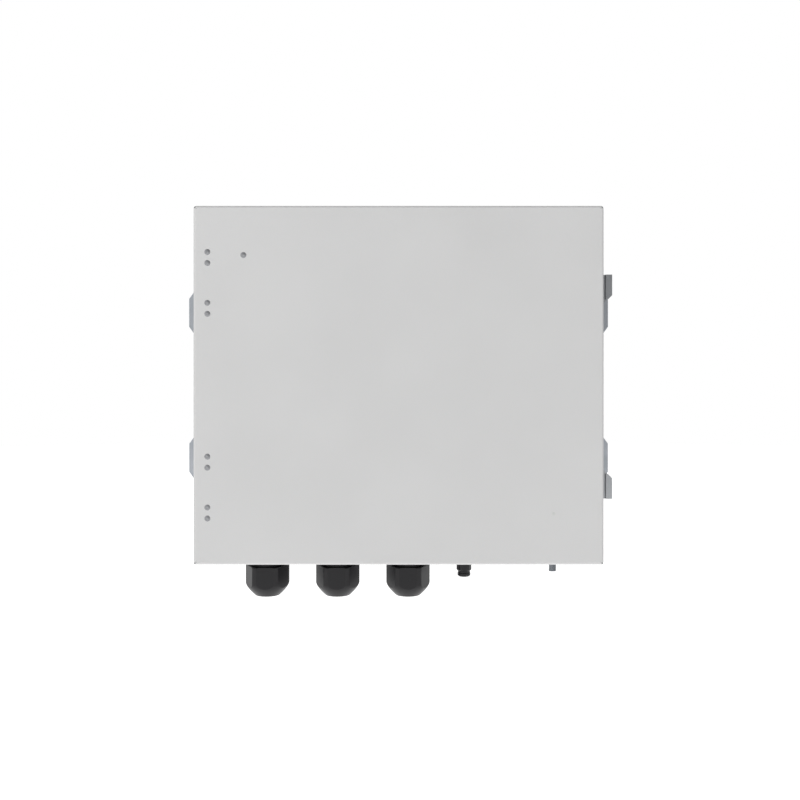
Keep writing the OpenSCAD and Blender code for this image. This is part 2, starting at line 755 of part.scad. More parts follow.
module gland_body() difference() {
    union() {
        translate([0, 0, -gland_stem]) cylinder(d = gland_thread_d, h = gland_stem + eps);
        hex_nut(gland_af, gland_hex_h, 1);
        cylinder(r = cap_thread_r, h = cap_start + cap_thread_len - 1);
    }
    translate([0, 0, -gland_stem - eps])
        cylinder(r = insert_r + seal_gap, h = gland_len + gland_stem);
}
module gland_cap() difference() {
    intersection() {
        translate([0, 0, cap_start])
            cylinder(r = gland_af / sqrt(3), h = cap_len, $fn = 6);
        rotate_extrude() polygon(concat([
            [0, cap_start], [gland_corner_d / 2 - cap_edge, cap_start],
            [gland_corner_d / 2, cap_start + cap_edge]
        ], dome, [[0, gland_len]]));
    }
    translate([0, 0, cap_start - eps])
        cylinder(r = cap_thread_r + seal_gap, h = cap_thread_len + eps);
    translate([0, 0, cap_start + cap_thread_len - eps])
        cylinder(r1 = cap_thread_r, r2 = insert_r + seal_gap,
            h = seat_z - cap_start - cap_thread_len + eps);
    translate([0, 0, seat_z - eps]) cylinder(r = mouth_r, h = cap_len);
}
module gland_insert() difference() {
    union() {
        translate([0, 0, seal_start]) cylinder(r = insert_r, h = seat_z - seal_start);
        translate([0, 0, seal_start])
            cylinder(r = mouth_r - seal_gap, h = gland_len - seal_start - 1);
    }
    translate([0, 0, seal_start - eps]) cylinder(d = cable_d, h = gland_len);
}
module gland_bodies() color(BLACK) facing()
    for (x = gland_places) under(x, gland_d) gland_body();
module gland_cap_at(i) color(BLACK) facing()
    if (i < gland_count) under(gland_places[i], gland_d) gland_cap();
module gland_cap_1() gland_cap_at(0);
module gland_cap_2() gland_cap_at(1);
module gland_cap_3() gland_cap_at(2);
module gland_inserts() color(RUBBER) facing()
    for (x = gland_places) under(x, gland_d) gland_insert();

small_af = 15;
small_lock_af = 18;
small_lock_h = 5;
small_cap_start = 7.5;
small_cap_end = 21.3;
small_neck_r = 6.4;
small_cap_r = 7.8;
small_neck_start = 19.6;
small_shoulder = 18.2;
small_hex_h = 6.5;
small_stem_h = 12;
small_bore_r = 3.6;
small_thread_h = 5.5;
thread_play = 0.4;
plug_r = 3.4;
plug_start = 6;
plug_head_r = 6.8;
plug_edge = 0.6;
plug_head_h = 4;
module gland_locknuts() color(BLACK) facing() {
    for (x = gland_places) under(x, gland_d) translate([0, 0, -sheet - lock_h])
        hex_nut(gland_af - 1, lock_h, gland_thread_d / 2);
    under(small_gland_x, gland_d) translate([0, 0, -sheet - small_lock_h])
        hex_nut(small_lock_af, small_lock_h, small_thread_r);
}
module small_gland_body() color(BLACK) facing() under(small_gland_x, gland_d)
    difference() {
        union() {
            translate([0, 0, -gland_stem]) cylinder(r = small_thread_r, h = gland_stem + 1);
            hex_nut(small_af + 1, small_hex_h, 1);
            cylinder(r = small_thread_r - thread_play, h = small_stem_h);
        }
        translate([0, 0, -gland_stem - eps])
            cylinder(r = small_bore_r, h = gland_stem + small_cap_end);
    }
module small_gland_cap() color(BLACK) facing() under(small_gland_x, gland_d)
    difference() {
        intersection() {
            translate([0, 0, small_cap_start])
                cylinder(r = small_af / sqrt(3), h = small_cap_end, $fn = 6);
            rotate_extrude() polygon([
                [0, small_cap_start], [small_cap_r, small_cap_start],
                [small_cap_r, small_shoulder],
                [small_neck_r, small_neck_start], [small_neck_r, small_cap_end],
                [0, small_cap_end]
            ]);
        }
        translate([0, 0, small_cap_start - eps])
            cylinder(r = small_thread_r - thread_play, h = small_thread_h);
        cylinder(r = small_bore_r, h = 2 * small_cap_end);
    }
module small_gland_plug() color(BLACK) facing() under(small_gland_x, gland_d) {
    translate([0, 0, plug_start])
        cylinder(r = plug_r, h = small_cap_end - plug_start + plug_edge);
    rotate_extrude() polygon([
        [0, small_cap_end], [plug_head_r - plug_edge, small_cap_end],
        [plug_head_r, small_cap_end + plug_edge],
        [plug_head_r, small_cap_end + plug_head_h - 2 * plug_edge],
        [plug_head_r - 2 * plug_edge, small_cap_end + plug_head_h],
        [0, small_cap_end + plug_head_h]
    ]);
}

// ---- Earth stud through the underside ----
stud_in = 22;
stud_point = 1.2;
stud_nut_af = 13;
stud_nut_h = 6.5;
stud_washer_r = 8;
stud_lug_z = -sheet - washer_h - stud_nut_h - 2;
// The stud has an undercut below its nut, so that the nut stays put when a lug is taken off
stud_nut_end = washer_h + stud_nut_h;
module earth_stud() color(ZINC) facing() under(stud_x, gland_d) difference() {
    union() {
        translate([0, 0, -stud_in]) cylinder(d = stud_d, h = stud_in + stud_len - stud_point);
        translate([0, 0, stud_len - stud_point])
            cylinder(d1 = stud_d, d2 = stud_d - 2 * stud_point, h = stud_point);
    }
    translate([0, 0, stud_nut_end]) difference() {
        cylinder(d = stud_d + 2 * eps, h = stud_point);
        translate([0, 0, -eps]) cylinder(d = stud_d - 1, h = stud_point + 2 * eps);
    }
}
module earth_stud_nuts() color(ZINC) facing() under(stud_x, gland_d) {
    washer(stud_washer_r, washer_h, stud_d / 2);
    translate([0, 0, washer_h]) hex_nut(stud_nut_af, stud_nut_h, stud_d / 2);
    translate([0, 0, -sheet - washer_h]) washer(stud_washer_r, washer_h, stud_d / 2);
    translate([0, 0, -sheet - washer_h - stud_nut_h])
        hex_nut(stud_nut_af, stud_nut_h, stud_d / 2);
    translate([0, 0, stud_lug_z - stud_nut_h])
        hex_nut(stud_nut_af, stud_nut_h, stud_d / 2);
}

// ---- Document pocket inside the door ----
pocket_t = 1.5;
pocket_w = 312;
pocket_h = 262;
pocket_depth = 8;
pocket_top = 35;
pocket_side = 15;
pocket_foot = 19;
pocket_face = 1.2;
thumb_r = 28;
top_window_h = 110;
top_window_y = 60;
top_window_r = 8;
pin_tip = 0.3;
module document_pocket() color(LIGHT) facing() difference() {
    union() {
        translate([-pocket_w / 2, -pocket_h / 2, skin_in - pocket_t])
            cube([pocket_w, pocket_h, pocket_t]);
        translate([0, 0, skin_in - pocket_depth]) linear_extrude(pocket_depth - pocket_t)
            difference() {
                translate([-pocket_w / 2, -pocket_h / 2])
                    square([pocket_w, pocket_h / 2 + pocket_top]);
                translate([-pocket_w / 2 + pocket_side, -pocket_h / 2 + pocket_foot])
                    square([pocket_w - 2 * pocket_side, pocket_h]);
            }
        translate([0, 0, skin_in - pocket_depth - pocket_face]) linear_extrude(pocket_face)
            difference() {
                translate([-pocket_w / 2, -pocket_h / 2])
                    square([pocket_w, pocket_h / 2 + pocket_top]);
                translate([0, pocket_top]) circle(thumb_r);
            }
        translate([pocket_pin_x, pocket_pin_y, skin_in - pocket_t])
            cylinder(r = pin_r, h = sheet + pocket_t + pin_tip);
    }
    translate([-pocket_pin_x, pocket_rivet_y, skin_in - 2 * pocket_t])
        cylinder(r = rivet_r, h = 3 * pocket_t);
    translate([0, top_window_y, skin_in - 2 * pocket_t]) linear_extrude(3 * pocket_t)
        rounded(pocket_w - 2 * pocket_side, top_window_h, top_window_r);
}

// ---- Things that clip on the DIN rail ----
// Local frame: x right and y up from the rail's centre, z out from the plate
hook_in = 3.5;
hook_catch = 2.5;
hook_lip = 5;
hook_t = din_h - din_t - 0.3;
clip_gap = 0.2;
shoulder_d = 44;
front_d = 58;
terminal_d = 37.5;
module rail_hooks(w) for (m = [0, 1]) mirror([0, m, 0])
    rotate([90, 0, 90]) linear_extrude(w, center = true) polygon([
        [din_w / 2 + clip_gap, din_h], [din_w / 2 + clip_gap, hook_t],
        [din_w / 2 - hook_catch, hook_t], [din_w / 2 - hook_catch, hook_in],
        [din_w / 2 + hook_lip, hook_in], [din_w / 2 + hook_lip, din_h]
    ]);
// A block of the section (y, z), w wide along x
module bar_section(w) rotate([90, 0, 90]) linear_extrude(w, center = true) children();

// ---- Fuse holders: a base and a carrier that swings out with two fuses ----
fuse_x = [for (i = [0 : strings - 1]) fuse_left + fuse_w * (i + 0.5)];
fuse_top = 40;
pole = fuse_w / 4;
base_play = 0.2;
pocket_half = fuse_w / 2 - 2.5;
pocket_low = -22.5;
pocket_high = 24;
pocket_floor = 22;
pivot_y = -20;
pivot_z = 50;
trunnion_r = 2;
carrier_half = pocket_half - side_gap;
carrier_z = 40;
carrier_front = 62;
carrier_edge = 2;
body_half = 6.3;
body_reach = 20.5;
trunnion_end = 1.5;
vent_r = 2;
vent_y = 7;
vent_deep = 4;
terminal_r = wire_d / 2 + 0.3;
screw_hole_r = 3;
screw_in = 6;
screw_deep = 5;
cage_half = 3.5;
cage_h = 4;
cage_in = 10;
cheek_step = 2.5;
lower_step = 7;
carrier_room = 10;
carrier_back = 3;

module fuse_base(x) color(GREY) facing() on_plate(x, din_y) difference() {
    w = fuse_w - base_play;
    union() {
        rail_hooks(w);
        bar_section(w) polygon([
            [-fuse_top, din_h], [fuse_top, din_h], [fuse_top, shoulder_d],
            [pocket_high + cheek_step, shoulder_d], [pocket_high + cheek_step, front_d],
            [pocket_low - cheek_step, front_d], [pocket_low - lower_step, shoulder_d],
            [-fuse_top, shoulder_d]
        ]);
    }
    block([-pocket_half, pocket_low, pocket_floor], [pocket_half, pocket_high, front_d + eps]);
    block([-pocket_half, pocket_low - carrier_room, shoulder_d + screw_fit],
        [pocket_half, pocket_low + carrier_back, front_d + eps]);
    translate([0, pivot_y, pivot_z]) across(trunnion_r + run_fit, 2 * fuse_w);
    for (s = [-1, 1]) {
        block([s * pole - cage_half, fuse_top - cage_in, terminal_d - cage_h],
            [s * pole + cage_half, fuse_top + eps, terminal_d + cage_h]);
        translate([s * pole, 0, terminal_d])
            along_y(terminal_r, -fuse_top - eps, -fuse_top + cage_in);
        for (t = [-1, 1]) translate([s * pole, t * (fuse_top - screw_in), shoulder_d - screw_deep])
            cylinder(r = screw_hole_r, h = 2 * screw_deep);
    }
}
module fuse_base_1() fuse_base(fuse_x[0]);
module fuse_base_2() if (strings > 1) fuse_base(fuse_x[1]);
module fuse_base_3() if (strings > 2) fuse_base(fuse_x[2]);

module fuse_carrier(x) color(BLACK) facing() on_plate(x, din_y) difference() {
    union() {
        bar_section(2 * carrier_half) polygon([
            [pivot_y - 1, pivot_z - 1], [pivot_y - 1, pivot_z + 8],
            [-12, carrier_front - carrier_edge], [4, carrier_front - carrier_edge],
            [12, carrier_front + carrier_edge], [21, carrier_front + carrier_edge],
            [21, pivot_z - 1]
        ]);
        for (s = [-1, 1])
            block([s * pole - body_half, -body_reach, carrier_z + 2],
                [s * pole + body_half, body_reach, pivot_z]);
        translate([0, pivot_y, pivot_z]) across(trunnion_r, 2 * (pocket_half + trunnion_end));
    }
    for (s = [-1, 1]) translate([s * pole, 0, carrier_z])
        along_y(fuse_d / 2, -fuse_len / 2, fuse_len / 2);
    for (s = [-1, 1], y = [-1, 1]) translate([s * pole, y * vent_y, carrier_front - vent_deep])
        cylinder(r = vent_r, h = 2 * vent_deep);
}
module fuse_carrier_1() fuse_carrier(fuse_x[0]);
module fuse_carrier_2() if (strings > 1) fuse_carrier(fuse_x[1]);
module fuse_carrier_3() if (strings > 2) fuse_carrier(fuse_x[2]);

// A fuse link: ceramic tube with a metal cap on each end
cap_h = 9.5;
cap_wall = 0.4;
cap_round = 0.6;
module fuse_link() {
    r = fuse_d / 2;
    along_y(r - cap_wall, -fuse_len / 2 + cap_h, fuse_len / 2 - cap_h);
    for (m = [0, 1]) mirror([0, m, 0]) {
        along_y(r, fuse_len / 2 - cap_h, fuse_len / 2 - cap_round);
        along_y(r - cap_round, fuse_len / 2 - cap_round, fuse_len / 2);
    }
}
module fuse_pair(x) color(LIGHT) facing() on_plate(x, din_y)
    for (s = [-1, 1]) translate([s * pole, 0, carrier_z]) fuse_link();
module fuse_links_1() fuse_pair(fuse_x[0]);
module fuse_links_2() if (strings > 1) fuse_pair(fuse_x[1]);
module fuse_links_3() if (strings > 2) fuse_pair(fuse_x[2]);

// ---- Four-pole load-break switch with a toggle across its front ----
switch_w = 72;
switch_h = 86;
switch_pole = switch_w / 4;
switch_front = 60;
drum_r = 8.5;
drum_z = 55;
toggle_half = 33;
toggle_tilt = 40;
toggle_reach = 24;
toggle_t = 7;
drum_play = 0.7;
window_half = 15;
raised_half = 22;
raised_step = 2;
barrier_half = 0.5;
barrier_in = 26;
barrier_h = 4;
// The toggle is a little narrower than its drum
toggle_in = 1.5;
module switch_body() color(GREY) facing() on_plate(switch_x, din_y) difference() {
    union() {
        rail_hooks(switch_w - toggle_t);
        bar_section(switch_w) polygon([
            [-switch_h / 2, din_h], [switch_h / 2, din_h],
            [switch_h / 2, shoulder_d], [raised_half, shoulder_d + raised_step],
            [raised_half, switch_front], [-raised_half, switch_front],
            [-raised_half, shoulder_d + raised_step], [-switch_h / 2, shoulder_d]
        ]);
    }
    translate([0, 0, drum_z]) across(drum_r + drum_play, 2 * toggle_half + 1);
    block([-toggle_half - side_gap, -window_half, drum_z - 1],
        [toggle_half + side_gap, window_half, switch_front + eps]);
    translate([0, 0, drum_z]) across(trunnion_r + run_fit, switch_w - raised_step);
    for (i = [-1.5, -0.5, 0.5, 1.5], t = [-1, 1]) translate([i * switch_pole, 0, 0]) {
        translate([0, t * (switch_h / 2 - screw_deep), terminal_d])
            along_y(terminal_r, -screw_in, screw_in);
        translate([0, t * (switch_h / 2 - screw_in), shoulder_d - screw_deep])
            cylinder(r = screw_hole_r, h = 2 * screw_deep);
    }
    for (i = [-1, 0, 1]) translate([i * switch_pole, 0, 0])
        for (t = [0, 1]) mirror([0, t, 0])
            block([-barrier_half, barrier_in, shoulder_d - barrier_h],
                [barrier_half, switch_h / 2 + eps, shoulder_d + barrier_h]);
}
module switch_handle() color(BLACK) facing() on_plate(switch_x, din_y)
    translate([0, 0, drum_z]) {
        across(drum_r, 2 * toggle_half);
        across(trunnion_r, switch_w - raised_step - trunnion_end);
        rotate([-toggle_tilt, 0, 0]) bar_section(2 * (toggle_half - toggle_in)) {
            translate([-toggle_t / 2, 0]) square([toggle_t, toggle_reach - toggle_t / 2]);
            translate([0, toggle_reach - toggle_t / 2]) circle(toggle_t / 2);
        }
    }

// ---- Surge arrester: a base and two plug-in cartridges ----
surge_w = 36;
surge_h = 90;
bay = 24;
bay_floor = 20;
cartridge_front = 64;
blade_y = 14;
blade_half = 4;
blade_t = 1.4;
blade_len = 8;
blade_play = 0.4;
plug_play = 0.3;
plug_chamfer = 8;
plug_front_in = 6;
window_y = 7;
module surge_base() color(GREY) facing() on_plate(surge_x, din_y) difference() {
    union() {
        rail_hooks(surge_w);
        bar_section(surge_w) polygon([
            [-surge_h / 2, din_h], [surge_h / 2, din_h], [surge_h / 2, shoulder_d],
            [bay, shoulder_d], [bay, bay_floor], [-bay, bay_floor],
            [-bay, shoulder_d], [-surge_h / 2, shoulder_d]
        ]);
    }
    for (s = [-1, 1], y = [-1, 1])
        block([s * pole - blade_half - blade_play, y * blade_y - blade_t / 2 - blade_play,
            bay_floor - blade_len - 1],
            [s * pole + blade_half + blade_play, y * blade_y + blade_t / 2 + blade_play,
            bay_floor + eps]);
    for (s = [-1, 1]) {
        translate([s * pole, 0, terminal_d])
            along_y(terminal_r, surge_h / 2 - cage_in, surge_h / 2 + eps);
        translate([s * pole, surge_h / 2 - screw_in, shoulder_d - screw_deep])
            cylinder(r = screw_hole_r, h = 2 * screw_deep);
    }
    translate([0, 0, terminal_d])
        along_y(terminal_r, -surge_h / 2 - eps, -surge_h / 2 + cage_in);
    translate([0, -surge_h / 2 + screw_in, shoulder_d - screw_deep])
        cylinder(r = screw_hole_r, h = 2 * screw_deep);
}
module surge_cartridge(s) color(BLACK) facing()
    on_plate(surge_x + s * pole, din_y) difference() {
        w = surge_w / 2 - 2 * plug_play;
        union() {
            bar_section(w) polygon([
                [-bay + blade_play, bay_floor + plug_play],
                [bay - blade_play, bay_floor + plug_play],
                [bay - blade_play, cartridge_front - plug_chamfer],
                [bay - plug_front_in, cartridge_front],
                [-bay + plug_front_in, cartridge_front],
                [-bay + blade_play, cartridge_front - plug_chamfer]
            ]);
            for (y = [-1, 1])
                block([-blade_half, y * blade_y - blade_t / 2, bay_floor - blade_len],
                    [blade_half, y * blade_y + blade_t / 2, bay_floor + 1]);
        }
        block([-w / 2 + blade_half, -window_y, cartridge_front - 1],
            [w / 2 - blade_half, window_y, cartridge_front + eps]);
    }
module surge_cartridge_1() surge_cartridge(-1);
module surge_cartridge_2() surge_cartridge(1);

// ---- End clamps that keep the devices from sliding on the rail ----
clamp_w = 8;
clamp_play = 0.4;
clamp_half = 24;
clamp_step = 20;
clamp_top_half = 16;
clamp_front = 30;
clamp_x = [fuse_left - clamp_w / 2, surge_x + surge_w / 2 + clamp_w / 2 + 0.5];
module end_clamps() color(GREY) facing() for (x = clamp_x) on_plate(x, din_y)
    difference() {
        union() {
            rail_hooks(clamp_w - clamp_play);
            bar_section(clamp_w - clamp_play) polygon([
                [-clamp_half, din_h], [clamp_half, din_h], [clamp_half, clamp_step],
                [clamp_top_half, clamp_front], [-clamp_top_half, clamp_front],
                [-clamp_half, clamp_step]
            ]);
        }
        translate([0, 0, clamp_step]) cylinder(r = m5, h = clamp_front);
    }

// ---- Comb busbars along the top of the fuse holders ----
bar_t = 1.5;
bar_gap = 6;
bar_h = 12;
bar_low = din_y + fuse_top + bar_gap;
bar_high = bar_low + bar_h;
lug_t = 1.5;
wire_out = plate_front + terminal_d;
lug_in = 7;
comb_wall = 2.5;
slot_play = 0.1;
comb_low = 4;
pin_in = 8;
lug_y = bar_low + bar_h / 2;
bar_out = 15;
bar_left = fuse_left - bar_out - 1;
bar_right = fuse_left + strings * fuse_w + bar_out;
positive_d = wire_out - lug_t / 2 - bar_t;
negative_d = wire_out + lug_t / 2;
pin_half = 2.5;
pin_low = din_y + fuse_top - pin_in;
carrier_left = fuse_left - 1;
carrier_right = fuse_left + strings * fuse_w + 1;
module busbar(from, to, d, s, hole) difference() {
    union() {
        block([from, bar_low, d], [to, bar_high, d + bar_t]);
        for (x = fuse_x) block([x + s * pole - pin_half, pin_low, d],
            [x + s * pole + pin_half, bar_low + eps, d + bar_t]);
    }
    translate([hole, lug_y, d - eps]) cylinder(r = m5, h = bar_t + 2 * eps);
}
module busbar_positive() color(COPPER) facing()
    busbar(carrier_left + 2, bar_right, positive_d, -1, bar_right - lug_in);
module busbar_negative() color(COPPER) facing()
    busbar(bar_left, carrier_right - 2, negative_d, 1, bar_left + lug_in);
module busbar_carrier() color(LIGHT) facing() difference() {
    block([carrier_left, bar_low - comb_low, positive_d - comb_wall],
        [carrier_right, bar_high + 2, negative_d + bar_t + comb_wall]);
    block([bar_left, bar_low - bar_gap, negative_d - slot_play],
        [carrier_right - 2, bar_high, negative_d + bar_t + slot_play]);
    block([carrier_left + 2, bar_low - bar_gap, positive_d - slot_play],
        [bar_right, bar_high, positive_d + bar_t + slot_play]);
}

// ---- Earth bar with clamp screws, on two pillars ----
earth_y = -112;
earth_first = 85;
earth_step = 13;
earth_count = 6;
pillar_h = 14;
pillar_r = 4;
bar_end = 7;
earth_low = plate_front + pillar_h;
earth_t = 10;
earth_h = 12;
earth_mid = earth_low + earth_t / 2;
earth_screw_len = 1.6;
earth_x = [for (i = [0 : earth_count - 1]) earth_first + i * earth_step];
module earth_bar() color(BRASS) facing() difference() {
    union() {
        block([earth_first - bar_end, earth_y - earth_h / 2, earth_low],
            [earth_x[earth_count - 1] + bar_end, earth_y + earth_h / 2, earth_low + earth_t]);
        for (x = [earth_x[0] + earth_step / 2, earth_x[earth_count - 1] - earth_step / 2])
            translate([x, earth_y, plate_front]) cylinder(r = pillar_r, h = pillar_h + eps);
    }
    for (x = earth_x) {
        translate([x, earth_y, earth_mid]) along_y(terminal_r, -earth_h, earth_h);
        translate([x, earth_y, earth_mid]) cylinder(r = m5, h = earth_t);
    }
}
module earth_bar_screws() color(STEEL) facing() for (x = earth_x)
    translate([x, earth_y, earth_low + earth_t])
        pan_screw(m5, small_head_r, screw_head_h, earth_screw_len);

// ---- Wiring, made up with square bends ----
bend = 8;
wire_in = 8;
switch_top = din_y + switch_h / 2 - wire_in;
surge_top = din_y + surge_h / 2 - wire_in;
loop_1 = 124;
loop_2 = 136;
loop_3 = 110;
loop_4 = 100;
loop_out = 18;
front_out = wire_out + loop_out;
crimp_len = 16;
crimp = lug_y + crimp_len;
duct_side = -45;

first_pole = switch_x - 1.5 * switch_pole;
module wire_nest(points) wire(points, wire_d / 2, bend);
module positive_wires() color("#B02A25") facing() {
    x = bar_right - lug_in;
    wire_nest([[x, crimp, wire_out], [x, loop_1, wire_out],
        [first_pole, loop_1, wire_out], [first_pole, switch_top, wire_out]]);
    a = first_pole + switch_pole;
    b = surge_x + pole;
    wire_nest([[a, switch_top, wire_out], [a, loop_3, wire_out],
        [a, loop_3, front_out], [b, loop_3, front_out],
        [b, loop_3, wire_out], [b, surge_top, wire_out]]);
}
module negative_wires() color("#202022") facing() {
    x = bar_left + lug_in;
    last_pole = first_pole + 3 * switch_pole;
    wire_nest([[x, crimp, wire_out], [x, loop_2, wire_out],
        [last_pole, loop_2, wire_out], [last_pole, switch_top, wire_out]]);
    a = first_pole + 2 * switch_pole;
    b = surge_x - pole;
    wire_nest([[a, switch_top, wire_out], [a, loop_4, wire_out],
        [a, loop_4, front_out], [b, loop_4, front_out],
        [b, loop_4, wire_out], [b, surge_top, wire_out]]);
}
stud_lug_t = 2;
stud_lug_r = 7.5;
bar_lug_r = 5;
barrel_r = 4;
barrel_in = 8;
barrel_len = 12;
stud_lug_y = -foot - stud_lug_z - stud_lug_t / 2;
earth_out = earth_x[3];
stud_reach = 20;
module earth_wires() color("#7FA23A") facing() {
    wire_nest([[surge_x, din_y - surge_h / 2 + wire_in, wire_out],
        [surge_x, duct_side, wire_out], [surge_x, duct_side, earth_mid],
        [surge_x, earth_y, earth_mid]]);
    wire_nest([[earth_out, earth_y, earth_mid], [earth_out, stud_lug_y, earth_mid],
        [earth_out, stud_lug_y, gland_d], [stud_x - stud_reach, stud_lug_y, gland_d]]);
}

// Ring lugs crimped on the wires: the palm is in the plane z = 0, hole at the origin
module ring_lug(r, hole_r, t, reach) difference() {
    union() {
        translate([0, 0, -t / 2]) cylinder(r = r, h = t);
        block([0, -barrel_r, -t / 2], [reach - barrel_in, barrel_r, t / 2]);
        translate([reach - barrel_in, 0, 0]) rotate([0, 90, 0])
            cylinder(r = barrel_r, h = barrel_len);
    }
    translate([0, 0, -t]) cylinder(r = hole_r, h = 2 * t);
    translate([reach, 0, 0]) rotate([0, 90, 0]) cylinder(r = wire_d / 2, h = barrel_len);
}
module cable_lugs() color(ZINC) facing() {
    for (x = [bar_right - lug_in, bar_left + lug_in])
        translate([x, lug_y, wire_out]) rotate([0, 0, 90])
            ring_lug(bar_lug_r, m5, lug_t, crimp_len);
    translate([stud_x, stud_lug_y, gland_d]) rotate([90, 0, 180])
        ring_lug(stud_lug_r, stud_d / 2, stud_lug_t, stud_reach);
}

enclosure_body();
wall_rail_upper();
wall_rail_lower();
frame_nuts();
mounting_plate();
plate_spacers();
din_rail();
plate_screws();
cable_duct();
duct_cover();
fuse_base_1();
fuse_base_2();
fuse_base_3();
switch_body();
surge_base();
end_clamps();
busbar_positive();
busbar_negative();
busbar_carrier();
earth_bar();
earth_bar_screws();
gland_bodies();
gland_cap_1();
gland_cap_2();
gland_cap_3();
gland_inserts();
gland_locknuts();
small_gland_body();
small_gland_cap();
small_gland_plug();
earth_stud();
earth_stud_nuts();
hinge_arms();
body_screws();
latch_bases();
latch_pins();
positive_wires();
negative_wires();
earth_wires();
cable_lugs();
door_panel();
door_gasket();
hinge_brackets();
door_rivets();
hinge_pins();
keepers();
document_pocket();
latch_lever_upper();
latch_lever_lower();
latch_claw_upper();
latch_claw_lower();
fuse_carrier_1();
fuse_carrier_2();
fuse_carrier_3();
fuse_links_1();
fuse_links_2();
fuse_links_3();
switch_handle();
surge_cartridge_1();
surge_cartridge_2();
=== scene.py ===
import json
import math

import bmesh
import bpy
from mathutils import Matrix, Vector


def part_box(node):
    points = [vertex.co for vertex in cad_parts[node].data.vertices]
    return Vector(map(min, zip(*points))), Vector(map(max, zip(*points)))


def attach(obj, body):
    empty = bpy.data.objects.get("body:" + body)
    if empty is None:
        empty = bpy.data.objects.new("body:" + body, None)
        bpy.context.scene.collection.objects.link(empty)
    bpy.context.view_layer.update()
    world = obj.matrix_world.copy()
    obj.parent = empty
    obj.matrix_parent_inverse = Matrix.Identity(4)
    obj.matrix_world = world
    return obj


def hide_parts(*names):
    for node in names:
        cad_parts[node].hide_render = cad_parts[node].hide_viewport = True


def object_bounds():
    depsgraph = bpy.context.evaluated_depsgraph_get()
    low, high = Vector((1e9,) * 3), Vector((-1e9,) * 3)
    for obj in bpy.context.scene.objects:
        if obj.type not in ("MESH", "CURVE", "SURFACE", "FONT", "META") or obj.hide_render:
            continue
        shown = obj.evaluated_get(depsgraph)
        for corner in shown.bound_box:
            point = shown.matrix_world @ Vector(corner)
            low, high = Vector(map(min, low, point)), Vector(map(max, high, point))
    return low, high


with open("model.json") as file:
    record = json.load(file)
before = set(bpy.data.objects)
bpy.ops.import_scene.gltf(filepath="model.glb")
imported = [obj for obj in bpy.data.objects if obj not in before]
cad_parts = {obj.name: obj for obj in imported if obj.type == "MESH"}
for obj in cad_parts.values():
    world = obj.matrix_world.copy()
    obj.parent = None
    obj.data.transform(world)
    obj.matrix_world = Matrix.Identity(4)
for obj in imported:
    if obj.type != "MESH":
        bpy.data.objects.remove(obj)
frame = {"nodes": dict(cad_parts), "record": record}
cad_box = [list(corner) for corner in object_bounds()]
cad = frame["nodes"]
MM = 0.001


# ---------------------------------------------------------------- Body and door
# The body and the door are folded from 1.5 mm cold-rolled steel sheet. Their
# seams are welded and ground, and both get a light grey polyester powder coat.
# Baked powder has a fine orange peel and a satin gloss.
def linear(hex_colour):
    """An sRGB hex colour as linear red, green, blue and alpha."""
    parts = [int(hex_colour[i : i + 2], 16) / 255 for i in (1, 3, 5)]
    light = [c / 12.92 if c <= 0.04045 else ((c + 0.055) / 1.055) ** 2.4 for c in parts]
    return (*light, 1.0)


def per(size_mm):
    """The scale of a pattern, in cells per metre, from the real size of one cell."""
    return 1 / (size_mm * MM)


def add_node(material, kind, values=None, **settings):
    """Adds a shader node. A value is a number or colour, or the output it is linked from.

    The setting ramp is a colour ramp's stops, each a place and a colour.
    """
    tree = material.node_tree
    made = tree.nodes.new(kind)
    for stop, (place, colour) in zip((0, 1), settings.pop("ramp", ())):
        made.color_ramp.elements[stop].position = place
        made.color_ramp.elements[stop].color = colour
    for name, value in settings.items():
        setattr(made, name, value)
    for name, value in (values or {}).items():
        if isinstance(value, bpy.types.NodeSocket):
            tree.links.new(value, made.inputs[name])
        else:
            made.inputs[name].default_value = value
    return made


def new_material(name):
    """A material with its nodes cleared, and the object coordinates that its patterns use."""
    material = bpy.data.materials.new(name)
    material.use_nodes = True
    material.node_tree.nodes.clear()
    return material, add_node(material, "ShaderNodeTexCoord").outputs["Object"]


def finish_material(material, shader):
    """Links the shader to the material's output."""
    add_node(material, "ShaderNodeOutputMaterial", {"Surface": shader.outputs[0]})
    return material


def finish_cad(material, *names):
    """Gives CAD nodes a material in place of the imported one."""
    for name in names:
        slots = cad[name].material_slots
        for place in slots:
            place.material = material
        if not slots:
            cad[name].data.materials.append(material)


def make_powder_coat(name, colour, shade):
    """Baked polyester powder on steel: orange peel about 1.6 mm wide, faint haze in the grey."""
    material, place = new_material(name)
    haze = add_node(
        material, "ShaderNodeTexNoise", {"Vector": place, "Scale": per(90), "Detail": 2.0}
    )
    fleck = add_node(
        material, "ShaderNodeTexNoise", {"Vector": place, "Scale": per(0.9), "Detail": 1.0}
    )
    tint = add_node(
        material, "ShaderNodeValToRGB", {"Fac": haze.outputs["Fac"]},
        ramp=((0.3, linear(shade)), (0.7, linear(colour))),
    ).outputs["Color"]
    speck = add_node(
        material, "ShaderNodeMix",
        {"Factor": 0.06, 6: tint, 7: fleck.outputs["Color"]},
        data_type="RGBA", blend_type="SOFT_LIGHT",
    )
    peel = add_node(
        material, "ShaderNodeTexNoise", {"Vector": place, "Scale": per(1.6), "Detail": 2.0}
    )
    gloss = add_node(
        material, "ShaderNodeMapRange",
        {"Value": peel.outputs["Fac"], "To Min": 0.40, "To Max": 0.50},
    )
    bump = add_node(
        material, "ShaderNodeBump",
        {"Height": peel.outputs["Fac"], "Strength": 0.35, "Distance": 0.04 * MM},
    )
    shader = add_node(
        material, "ShaderNodeBsdfPrincipled",
        {
            "Base Color": speck.outputs[2],
            "Roughness": gloss.outputs["Result"],
            "Normal": bump.outputs["Normal"],
            "IOR": 1.5,
        },
    )
    return finish_material(material, shader)


